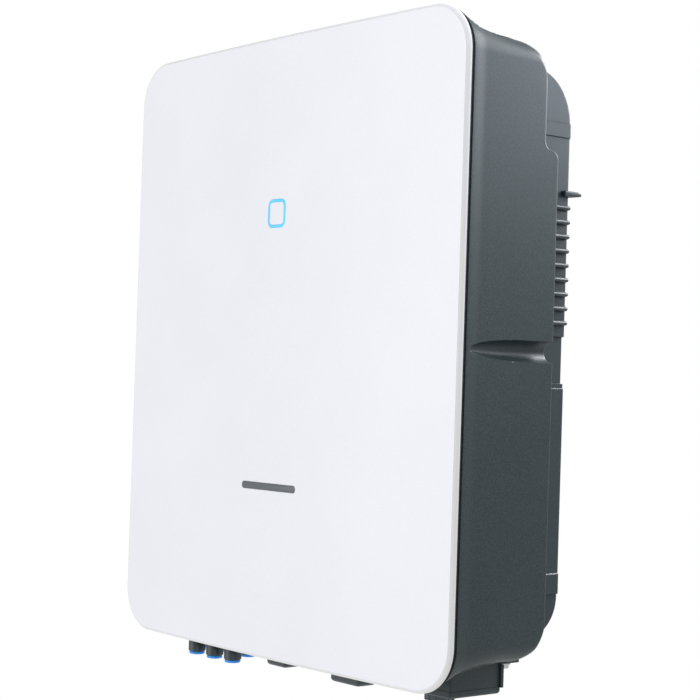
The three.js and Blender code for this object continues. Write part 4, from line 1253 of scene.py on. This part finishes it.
def build_rail():
    """Hanging rail: a shelf with a drawn-in nose, its back plate and the turned-down lip."""
    low, high, lip = RAIL_LOW, RAIL_HIGH, HANGER_LIP_HALF
    shelf_low, tip = high.z - 5, high.y
    shape = bmesh.new()
    shelf = rounded_polygon([
        (low.y, shelf_low), (tip - 4, shelf_low + 0.7), (tip, shelf_low + 1.2),
        (tip, high.z - 1.2), (tip - 4, high.z - 0.3), (low.y, high.z),
    ], 1.8)
    prism(shape, shelf, "x", low.x, high.x, 1.2, 4)
    half = SIDE_FACE - 5
    block(shape, (-half, low.y, low.z), (half, low.y + 3, high.z - 1), 0.6)
    block(shape, (-lip, tip - 3, high.z - 26), (lip, tip, high.z - 1.8), 0.5)
    finished("hanging_rail", shape, "cast_fins", "hanger_rail")


def build_pads():
    """Rest pads: moulded rubber with a rounded rim and shallow grooves across the face."""
    for name in ("rest_pad_left", "rest_pad_right"):
        low, high = case_box(name)
        half = (high.x - low.x) / 2
        centre = middle(name)
        shape = bmesh.new()
        profile = [(0, low.y), (0, high.y - 1.2), (0.3, high.y - 0.4), (1.0, high.y)]
        rings = []
        for inset, y in profile:
            size, radius = half - inset, 6 - inset
            outline = rounded_outline(size, -size, size, radius, radius, 8)
            rings.append([(centre.x + x, y, centre.z + z) for x, z, _ in outline])
        skin(shape, rings)
        piece = piece_from_bmesh(name + "_moulded", shape, finish("rubber_black"))
        grooves = bmesh.new()
        for k in range(-2, 3):
            z = centre.z + k * 5
            block(grooves, (low.x - 1, high.y - 0.7, z - 0.7), (high.x + 1, high.y + 1, z + 0.7))
        cut(piece, piece_from_bmesh("grooves", grooves, None))
        settle(piece, "rubber_black", name)


def screw_head(radius, height, socket):
    """A domed screw head with a hexagon socket, its axis along y, its face towards the wall."""
    shape = bmesh.new()
    profile = [
        (radius * 0.97, 0), (radius, 0.3), (radius, height * 0.55), (radius * 0.93, height * 0.85),
        (radius * 0.8, height), (socket * 1.25, height), (socket * 1.12, height - 0.15),
    ]
    steps = 36
    rings = [[
        (r * math.cos(a), y, r * math.sin(a)) for a in (2 * math.pi * i / steps for i in range(steps))
    ] for r, y in profile]
    for depth in (height - 0.3, height * 0.35):
        ring = []
        for i in range(steps):
            a = 2 * math.pi * i / steps
            share = (a % (math.pi / 3)) - math.pi / 6
            r = socket * math.cos(math.pi / 6) / math.cos(share)
            ring.append((r * math.cos(a), depth, r * math.sin(a)))
        rings.append(ring)
    skin(shape, rings)
    return piece_from_bmesh("screw", shape, None, 35)


def build_screws():
    """Flange screws in two columns and the rail's two screws, set out by Geometry Nodes."""
    flange = [f"flange_screw_{i}" for i in range(1, 9)]
    low, high = case_box(flange[0])
    first, last = middle(flange[0]), middle(flange[-1])
    above = middle(flange[1]).z - first.z
    heads = repeated(
        "flange_screw_heads", screw_head(4.5, high.y - low.y, 2.3), finish("steel"),
        (first.x, low.y, first.z), 4, (0, 0, above), 2, (last.x - first.x, 0, 0), 35,
    )
    settle(heads, "steel", *flange)
    low, high = case_box("hanger_screw_1")
    first, last = middle("hanger_screw_1"), middle("hanger_screw_2")
    heads = repeated(
        "rail_screw_heads", screw_head(4.5, high.y - low.y, 2.0), finish("steel"),
        (first.x, low.y, first.z), 2, (last.x - first.x, 0, 0), angle=35,
    )
    settle(heads, "steel", "hanger_screw_1", "hanger_screw_2")


# ---------------------------------------------------------------- under the housing

def build_sockets():
    """Photovoltaic sockets in two staggered rows, set out by Geometry Nodes."""
    low, _ = case_box(SOCKET_NAMES[0])
    first, second, rear = (middle(SOCKET_NAMES[i]) for i in (0, 1, 3))
    shape = bmesh.new()
    neck, collar = 6.9, 8.2
    turned(shape, 0, 0, [
        (4.5, 26), (4.5, 0.3), (4.8, 0), (collar - 0.7, 0), (collar, 0.6), (collar, 6.8),
        (collar - 0.3, 7.5), (neck + 0.2, 8.2), (neck, 8.4), (neck, 44), (4.5, 44),
    ], 48, lift=lambda z, a: 1.5 * (1 - math.cos(2 * a)) if 6 < z < 9 else 0)
    turned(shape, 0, 0, [(9.0, 26.5), (9.2, 27), (9.2, 38)], 48, 6)
    studs(shape, 0, 0, 6, collar - 0.35, [(0.3, 1.4), (0.6, 1.8), (0.6, 5.6), (0.3, 6)], 12, 30)
    source = piece_from_bmesh("socket", shape, None, 35)
    sockets = repeated(
        "pv_socket_bodies", source, finish("plastic_black"), (first.x, first.y, low.z),
        3, (second.x - first.x, 0, 0), 2, (rear.x - first.x, rear.y - first.y, 0), 35,
    )
    settle(sockets, "plastic_black", *SOCKET_NAMES)


def build_plugs():
    """A blue sealing plug for each socket, each on its own body."""
    for i in range(1, 7):
        node_name = f"pv_plug_{i}"
        low, high = case_box(node_name)
        centre = middle(node_name)
        radius = (high.x - low.x) / 2
        top = low.z + 2.4
        shape = bmesh.new()
        turned(shape, centre.x, centre.y, [
            (radius - 2.2, low.z + 0.5), (radius - 1.2, low.z + 0.1), (radius - 0.5, low.z),
            (radius, low.z + 0.5), (radius, top - 0.3), (radius - 0.3, top), (4.2, top),
            (3.9, top + 0.4), (3.9, top + 6), (3.6, top + 6.6), (3.9, top + 7.2), (3.9, high.z - 1.5),
            (2.4, high.z),
        ], 48)
        ridge = [(0.3, low.z + 0.5), (0.45, low.z + 0.8), (0.3, top - 0.4)]
        studs(shape, centre.x, centre.y, 12, radius - 0.15, ridge, 8)
        finished(f"sealing_plug_{i}", shape, "plastic_blue", node_name, body=f"plug_{i}")


def hung_box(shape, low, high, corner, bevel):
    """A box hung under the housing, with rounded upright corners and a bevelled foot."""
    centre = ((low.x + high.x) / 2, (low.y + high.y) / 2)
    half = ((high.x - low.x) / 2, (high.y - low.y) / 2)
    rings = []
    stations = [(low.z + bevel * (1 - math.cos(a)), bevel * (1 - math.sin(a)))
                for a in evenly(0, math.pi / 2, 5)]
    stations.append((high.z, 0.0))
    for z, inset in stations:
        ring = []
        for quarter, (sx, sy) in enumerate(((1, 1), (-1, 1), (-1, -1), (1, -1))):
            for t in evenly(0, 90, 6):
                a = math.radians(90 * quarter + t)
                radius = max(corner - inset * 0.3, 0.4)
                ring.append((
                    centre[0] + sx * (half[0] - inset - radius) + radius * math.cos(a),
                    centre[1] + sy * (half[1] - inset - radius) + radius * math.sin(a), z,
                ))
        rings.append(ring)
    skin(shape, rings)


def build_covers():
    """Snap covers over the communication and meter openings, with a latch on each front."""
    for node_name in ("com_cover", "meter_cover"):
        low, high = case_box(node_name)
        high.z = -wall_height(low.y + 12, REAR_LOWER) + 1
        shape = bmesh.new()
        hung_box(shape, low, high, 2.4, 3.2)
        centre = (low.x + high.x) / 2
        block(shape, (centre - 5, low.y, low.z + 8), (centre + 5, low.y + 1.2, low.z + 18), 0.5)
        block(shape, (centre - 6, low.y + 4, low.z), (centre + 6, low.y + 9, low.z + 1), 0.3)
        finished(node_name + "_moulded", shape, "plastic_black", node_name)


def build_ac_box():
    """Cable box for the mains lead, with its parting line and rear flange."""
    low, high = case_box("ac_box")
    right = high.x - 1.6
    top = -wall_height(REAR_LOWER - 30, REAR_LOWER) + 1
    shape = bmesh.new()
    foot = Vector((right, high.y - 1.5, low.z + 5.5))
    hung_box(shape, low, foot, 2.2, 2.6)
    upper = Vector((low.x + 0.5, low.y + 0.5, low.z + 5.2))
    hung_box(shape, upper, Vector((right - 0.5, high.y - 2, top)), 2.0, 0.3)
    block(shape, (low.x + 6, high.y - 3, low.z + 5), (high.x, high.y, top), 0.5)
    finished("cable_box", shape, "cast_housing", "ac_box")


def build_gland():
    """Cable gland: hexagon body and a domed, fluted clamping nut with an open bore."""
    low, high = case_box("ac_gland")
    centre = middle("ac_gland")
    box_floor = case_box("ac_box")[0].z
    shape = bmesh.new()
    nut = [
        (7.5, low.z + 6), (7.5, low.z + 0.6), (8.1, low.z), (9.6, low.z), (10.8, low.z + 1.2),
        (12.2, low.z + 5), (12.5, low.z + 8.4), (11, low.z + 8.6), (11, high.z), (7.5, high.z),
    ]
    turned(shape, centre.x, centre.y, nut, 48)
    turned(shape, centre.x, centre.y, [
        (14.0, box_floor - 4), (14.5, box_floor - 3.6), (14.5, box_floor - 0.6), (14.0, box_floor - 0.3),
    ], 48, 6)
    flute = [(0.4, low.z + 1.8), (0.9, low.z + 3), (0.9, low.z + 8)]
    studs(shape, centre.x, centre.y, 12, 11.9, flute, 10)
    gland = piece_from_bmesh("cable_gland", shape, finish("plastic_black"))
    bore = bmesh.new()
    turned(bore, centre.x, centre.y, [(7.4, low.z - 1), (7.4, high.z + 1)], 40)
    cut(gland, piece_from_bmesh("gland_bore", bore, None))
    settle(gland, "plastic_black", "ac_gland")


def build_ground():
    """Earthing lug under the rear edge, and its screw with a washer."""
    low, high = case_box("ground_bracket")
    shape = bmesh.new()
    block(shape, low, high, 0.7, 3)
    finished("earth_lug", shape, "cast_housing", "ground_bracket")
    low, high = case_box("ground_screw")
    centre = middle("ground_screw")
    shape = bmesh.new()
    turned(shape, centre.x, centre.y, [
        (2.6, low.z), (3.0, low.z + 0.4), (3.1, low.z + 0.7), (3.1, high.z - 1.1),
    ], 36, 6)
    turned(shape, centre.x, centre.y, [
        (4.1, high.z - 1.1), (4.3, high.z - 0.9), (4.3, high.z - 0.2), (4.1, high.z),
    ], 36)
    finished("earth_screw", shape, "steel", "ground_screw")


def build_vent():
    """Pressure vent: a slotted cap on a threaded stem."""
    low, high = case_box("vent_plug")
    centre = middle("vent_plug")
    radius = (high.x - low.x) / 2
    wall = -wall_height(centre.y, REAR_LOWER)
    shape = bmesh.new()
    turned(shape, centre.x, centre.y, [
        (radius - 1.6, low.z), (radius - 0.4, low.z + 0.4), (radius, low.z + 1.4),
        (radius, wall - 1.2), (radius - 1, wall - 0.6), (5.0, wall - 0.6), (5.0, high.z),
    ], 40)
    vent = piece_from_bmesh("vent_cap", shape, finish("plastic_black"))
    slots = bmesh.new()
    for k in range(3):
        a = math.radians(60 * k)
        turned_block(slots, centre, a, radius + 1, 0.7, low.z + 2.2, low.z + 4.2)
    cut(vent, piece_from_bmesh("vent_slots", slots, None))
    settle(vent, "plastic_black", "vent_plug")


def turned_block(shape, centre, angle, reach, half, low, high):
    """A flat bar through the centre, turned about the upright axis."""
    along = Vector((math.cos(angle), math.sin(angle), 0))
    across = Vector((-along.y, along.x, 0))
    corners = [along * sx * reach + across * sy * half for sx, sy in ((1, 1), (-1, 1), (-1, -1), (1, -1))]
    rings = [[(centre.x + c.x, centre.y + c.y, z) for c in corners] for z in (low, high)]
    skin(shape, rings)


def build_isolator():
    """Isolator knob with a raised grip bar, and its steel shaft."""
    low, high = case_box("isolator_knob")
    centre = middle("isolator_knob")
    radius = (high.x - low.x) / 2
    plate = high.z - 6
    shape = bmesh.new()
    turned(shape, centre.x, centre.y, [
        (radius - 3.4, plate), (radius - 1.4, plate + 0.25), (radius - 0.3, plate + 1.1),
        (radius, plate + 2.2), (radius, high.z - 0.5), (radius - 0.5, high.z), (4.6, high.z),
        (4.4, high.z - 0.2), (4.4, high.z - 7.8),
    ], 72)
    half = radius - 1.5
    outline = rounded_polygon([
        (centre.x - 4.5, centre.y - half), (centre.x + 4.5, centre.y - half),
        (centre.x + 4.5, centre.y + half), (centre.x - 4.5, centre.y + half),
    ], 3.2, 5)
    prism(shape, outline, "z", low.z, plate + 1, 1.0, 3)
    ridge = [(0.3, plate + 1.8), (0.5, plate + 2.4), (0.5, high.z - 1)]
    studs(shape, centre.x, centre.y, 24, (radius - 0.2) * 0.995, ridge, 8)
    finished("isolator_dial", shape, "plastic_black", "isolator_knob", body="isolator")
    low, high = case_box("isolator_shaft")
    radius = (high.x - low.x) / 2
    shape = bmesh.new()
    turned(shape, centre.x, centre.y, [
        (radius - 0.6, low.z), (radius, low.z + 0.6), (radius, high.z - 0.6), (radius - 0.6, high.z),
    ], 36)
    finished("isolator_spindle", shape, "steel", "isolator_shaft", body="isolator")


# ---------------------------------------------------------------- inside

def dress_packed_nodes():
    """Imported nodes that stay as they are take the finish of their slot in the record."""
    slots = {part["node"]: part["material_slot"] for part in frame["record"]["subparts"]}
    for name, packed in frame["nodes"].items():
        if packed.hide_render:
            continue
        packed.data.materials.clear()
        packed.data.materials.append(finish(slots[name]))


# ---------------------------------------------------------------- stage

CAMERA_AIM = (95.32, -161.5, -124.99)  # in the frame, in millimetres
CAMERA_DISTANCE = 1.42368
SENSOR_WIDTH, VIEW_END = 36, 200


def build_camera():
    """Camera by its angles round the aim."""
    studio = sizes("studio")
    azimuth, elevation, roll = (math.radians(v) for v in (studio.azimuth, studio.elevation, studio.roll))
    back = Vector((
        math.sin(azimuth) * math.cos(elevation), -math.cos(azimuth) * math.cos(elevation),
        math.sin(elevation),
    ))
    right = (-back).cross(Vector((0, 0, 1))).normalized()
    up = right.cross(-back)
    turned_right = right * math.cos(roll) + up * math.sin(roll)
    turned_up = up * math.cos(roll) - right * math.sin(roll)
    camera = bpy.data.objects.new("camera", bpy.data.cameras.new("camera"))
    bpy.context.scene.collection.objects.link(camera)
    place = Vector(CAMERA_AIM) * MM + back * CAMERA_DISTANCE
    turn = Matrix((turned_right, turned_up, back)).transposed()
    camera.matrix_world = Matrix.Translation(place) @ turn.to_4x4()
    camera.data.lens = studio.lens
    camera.data.sensor_width = SENSOR_WIDTH
    camera.data.clip_end = VIEW_END
    bpy.context.scene.camera = camera


CASE_MIDDLE = (FRAME_BOX[0] + FRAME_BOX[1]) / 2

# name, place, what it is aimed at, width and height in metres, power in watts, tint
LIGHTS = (
    ("front soft box", CASE_MIDDLE + Vector((-1.6, -3.8, 0.6)), CASE_MIDDLE, (3.5, 3.5), 69, "#ffffff"),
    ("top soft box", (0.44, -0.02, 0.44), (0.23, -0.08, 0.1), (0.25, 0.26), 1.3, "#e4edff"),
    ("rear edge light", (0.75, 0.62, 0.36), (0.23, -0.08, 0.05), (0.4, 0.4), 3.3, "#eaf1ff"),
    ("rear strip light", (0.36, 0.95, 0.5), (0.22, -0.1, -0.12), (0.4, 0.5), 15, "#ffffff"),
)


def area_light(name, place, aim, size, power, tint):
    """A soft box that the camera doesn't see."""
    data = bpy.data.lights.new(name, "AREA")
    data.shape = "RECTANGLE"
    data.size, data.size_y = size
    data.energy = power
    data.color = linear(tint)
    light = bpy.data.objects.new(name, data)
    bpy.context.scene.collection.objects.link(light)
    light.location = place
    light.rotation_euler = (Vector(aim) - Vector(place)).to_track_quat("-Z", "Y").to_euler()
    light.visible_camera = False


WHITE = (*linear("#ffffff"), 1)
PALE_GREY = (*linear("#f7f7f7"), 1)
FLOOR_REACH = 60  # half the floor's width, in metres
FLOOR_FADE = (1.4, 4.2)  # distances from the case between which the floor turns white, in metres


def build_world():
    """White backdrop; what it sends to the case is stronger from below, as over a white floor."""
    world = bpy.data.worlds.new("studio")
    bpy.context.scene.world = world
    world.use_nodes = True
    tree = world.node_tree
    tree.nodes.clear()
    place = add(tree, "ShaderNodeTexCoord").outputs["Generated"]
    way = add(tree, "ShaderNodeSeparateXYZ", {"Vector": place})
    rise = add(tree, "ShaderNodeMapRange", {
        "Value": way.outputs["Z"], "From Min": -0.7, "From Max": 0.3, "To Min": 0.9, "To Max": 0.6,
    }, interpolation_type="SMOOTHSTEP")
    seen = add(tree, "ShaderNodeLightPath").outputs["Is Camera Ray"]
    strength = add(tree, "ShaderNodeMix", {0: seen, 2: rise.outputs["Result"], 3: 1.0})
    back = add(tree, "ShaderNodeBackground", {"Color": WHITE, "Strength": strength.outputs[0]})
    add(tree, "ShaderNodeOutputWorld", {"Surface": back.outputs["Background"]})


def build_floor():
    """Pale floor well below the case; it brightens to white away from the case."""
    level = FRAME_BOX[0].z - sizes("studio").floor_drop
    shape = bmesh.new()
    corners = ((-1, -1), (1, -1), (1, 1), (-1, 1))
    shape.faces.new([shape.verts.new((x * FLOOR_REACH, y * FLOOR_REACH, level)) for x, y in corners])
    mesh = bpy.data.meshes.new("floor")
    shape.to_mesh(mesh)
    shape.free()
    material, tree, place = new_material("pale painted floor")
    away = add(tree, "ShaderNodeVectorMath", {0: place}, operation="LENGTH")
    fade = add(tree, "ShaderNodeMapRange", {
        "Value": away.outputs["Value"], "From Min": FLOOR_FADE[0], "From Max": FLOOR_FADE[1],
    }, interpolation_type="SMOOTHSTEP")
    matt = add(tree, "ShaderNodeBsdfDiffuse", {"Color": PALE_GREY})
    bright = add(tree, "ShaderNodeEmission", {"Color": WHITE, "Strength": 1.0})
    both = add(tree, "ShaderNodeMixShader", {
        "Fac": fade.outputs["Result"], 1: matt.outputs["BSDF"], 2: bright.outputs["Emission"],
    })
    add(tree, "ShaderNodeOutputMaterial", {"Surface": both.outputs["Shader"]})
    mesh.materials.append(material)
    floor = bpy.data.objects.new("floor", mesh)
    bpy.context.scene.collection.objects.link(floor)
    floor.visible_diffuse = False
    floor.visible_glossy = False


def build_stage():
    """Backdrop, floor, lights and camera, with colours shown unaltered."""
    build_world()
    build_floor()
    for light in LIGHTS:
        area_light(*light)
    bpy.context.scene.view_settings.view_transform = "Standard"
    build_camera()


# ---------------------------------------------------------------- operators

class INVERTER_OT_stage(bpy.types.Operator):
    """Camera, floor, backdrop and studio lights"""

    bl_idname = "inverter.stage"
    bl_label = "Stage"

    def execute(self, context):
        build_stage()
        return {"FINISHED"}


class INVERTER_OT_panel(bpy.types.Operator):
    """Bowed front panel with its bevel and recesses"""

    bl_idname = "inverter.panel"
    bl_label = "Front panel"

    def execute(self, context):
        build_panel()
        return {"FINISHED"}


class INVERTER_OT_status(bpy.types.Operator):
    """Light ring in the panel"""

    bl_idname = "inverter.status"
    bl_label = "Status light"

    def execute(self, context):
        build_status_ring()
        return {"FINISHED"}


class INVERTER_OT_badge(bpy.types.Operator):
    """Plain bar in the panel"""

    bl_idname = "inverter.badge"
    bl_label = "Badge"

    def execute(self, context):
        build_badge()
        return {"FINISHED"}


class INVERTER_OT_gasket(bpy.types.Operator):
    """Rubber strip behind the panel"""

    bl_idname = "inverter.gasket"
    bl_label = "Panel gasket"

    def execute(self, context):
        build_gasket()
        return {"FINISHED"}


class INVERTER_OT_housing(bpy.types.Operator):
    """Cast housing and its inner ledge"""

    bl_idname = "inverter.housing"
    bl_label = "Housing"

    def execute(self, context):
        build_housing()
        build_ledge()
        return {"FINISHED"}


class INVERTER_OT_fins(bpy.types.Operator):
    """Inner and outermost fins"""

    bl_idname = "inverter.fins"
    bl_label = "Fins"

    def execute(self, context):
        build_fins()
        return {"FINISHED"}


class INVERTER_OT_base(bpy.types.Operator):
    """Base plate of the finned casting"""

    bl_idname = "inverter.base"
    bl_label = "Base plate"

    def execute(self, context):
        build_base()
        return {"FINISHED"}


class INVERTER_OT_ribs(bpy.types.Operator):
    """Ribs on the outermost fins"""

    bl_idname = "inverter.ribs"
    bl_label = "Side ribs"

    def execute(self, context):
        build_ribs()
        return {"FINISHED"}


class INVERTER_OT_rail(bpy.types.Operator):
    """Hanging rail with its lip"""

    bl_idname = "inverter.rail"
    bl_label = "Hanging rail"

    def execute(self, context):
        build_rail()
        return {"FINISHED"}


class INVERTER_OT_pads(bpy.types.Operator):
    """Rubber rest pads"""

    bl_idname = "inverter.pads"
    bl_label = "Rest pads"

    def execute(self, context):
        build_pads()
        return {"FINISHED"}


class INVERTER_OT_screws(bpy.types.Operator):
    """Flange and rail screws"""

    bl_idname = "inverter.screws"
    bl_label = "Screws"

    def execute(self, context):
        build_screws()
        return {"FINISHED"}


class INVERTER_OT_sockets(bpy.types.Operator):
    """Photovoltaic sockets"""

    bl_idname = "inverter.sockets"
    bl_label = "Sockets"

    def execute(self, context):
        build_sockets()
        return {"FINISHED"}


class INVERTER_OT_plugs(bpy.types.Operator):
    """Blue sealing plugs"""

    bl_idname = "inverter.plugs"
    bl_label = "Sealing plugs"

    def execute(self, context):
        build_plugs()
        return {"FINISHED"}


class INVERTER_OT_covers(bpy.types.Operator):
    """Communication and meter covers"""

    bl_idname = "inverter.covers"
    bl_label = "Covers"

    def execute(self, context):
        build_covers()
        return {"FINISHED"}


class INVERTER_OT_cable_box(bpy.types.Operator):
    """Mains cable box and its gland"""

    bl_idname = "inverter.cable_box"
    bl_label = "Cable box"

    def execute(self, context):
        build_ac_box()
        build_gland()
        return {"FINISHED"}


class INVERTER_OT_ground(bpy.types.Operator):
    """Earthing lug and its screw"""

    bl_idname = "inverter.ground"
    bl_label = "Earthing"

    def execute(self, context):
        build_ground()
        return {"FINISHED"}


class INVERTER_OT_vent(bpy.types.Operator):
    """Pressure vent"""

    bl_idname = "inverter.vent"
    bl_label = "Vent"

    def execute(self, context):
        build_vent()
        return {"FINISHED"}


class INVERTER_OT_isolator(bpy.types.Operator):
    """Isolator knob and its shaft"""

    bl_idname = "inverter.isolator"
    bl_label = "Isolator"

    def execute(self, context):
        build_isolator()
        return {"FINISHED"}


class INVERTER_OT_inside(bpy.types.Operator):
    """Finishes of the parts that stay as packed"""

    bl_idname = "inverter.inside"
    bl_label = "Inside"

    def execute(self, context):
        dress_packed_nodes()
        return {"FINISHED"}


OPERATORS = (
    INVERTER_OT_stage,
    INVERTER_OT_panel,
    INVERTER_OT_status,
    INVERTER_OT_badge,
    INVERTER_OT_gasket,
    INVERTER_OT_housing,
    INVERTER_OT_fins,
    INVERTER_OT_base,
    INVERTER_OT_ribs,
    INVERTER_OT_rail,
    INVERTER_OT_pads,
    INVERTER_OT_screws,
    INVERTER_OT_sockets,
    INVERTER_OT_plugs,
    INVERTER_OT_covers,
    INVERTER_OT_cable_box,
    INVERTER_OT_ground,
    INVERTER_OT_vent,
    INVERTER_OT_isolator,
    INVERTER_OT_inside,
)


class INVERTER_PT_build(bpy.types.Panel):
    """Lists the build steps"""

    bl_label = "String inverter"
    bl_idname = "INVERTER_PT_build"
    bl_space_type = "VIEW_3D"
    bl_region_type = "UI"
    bl_category = "Inverter"

    def draw(self, context):
        for made in OPERATORS:
            self.layout.operator(made.bl_idname)


GROUPS = {
    "casing": InverterCasing,
    "grip": InverterGrip,
    "sink": InverterSink,
    "colours": InverterColours,
    "studio": InverterStudio,
}


def register():
    """Registers the classes and hangs the sizes on the scene."""
    for group in (*GROUPS.values(), *OPERATORS, INVERTER_PT_build):
        bpy.utils.register_class(group)
    for name, group in GROUPS.items():
        setattr(bpy.types.Scene, "inverter_" + name, PointerProperty(type=group))


def unregister():
    """Takes away what register added."""
    for name in GROUPS:
        delattr(bpy.types.Scene, "inverter_" + name)
    for group in reversed((*GROUPS.values(), *OPERATORS, INVERTER_PT_build)):
        bpy.utils.unregister_class(group)


def main():
    """Builds everything in order."""
    register()
    for made in OPERATORS:
        getattr(bpy.ops.inverter, made.bl_idname.split(".")[1])()


if __name__ == "__main__":
    main()
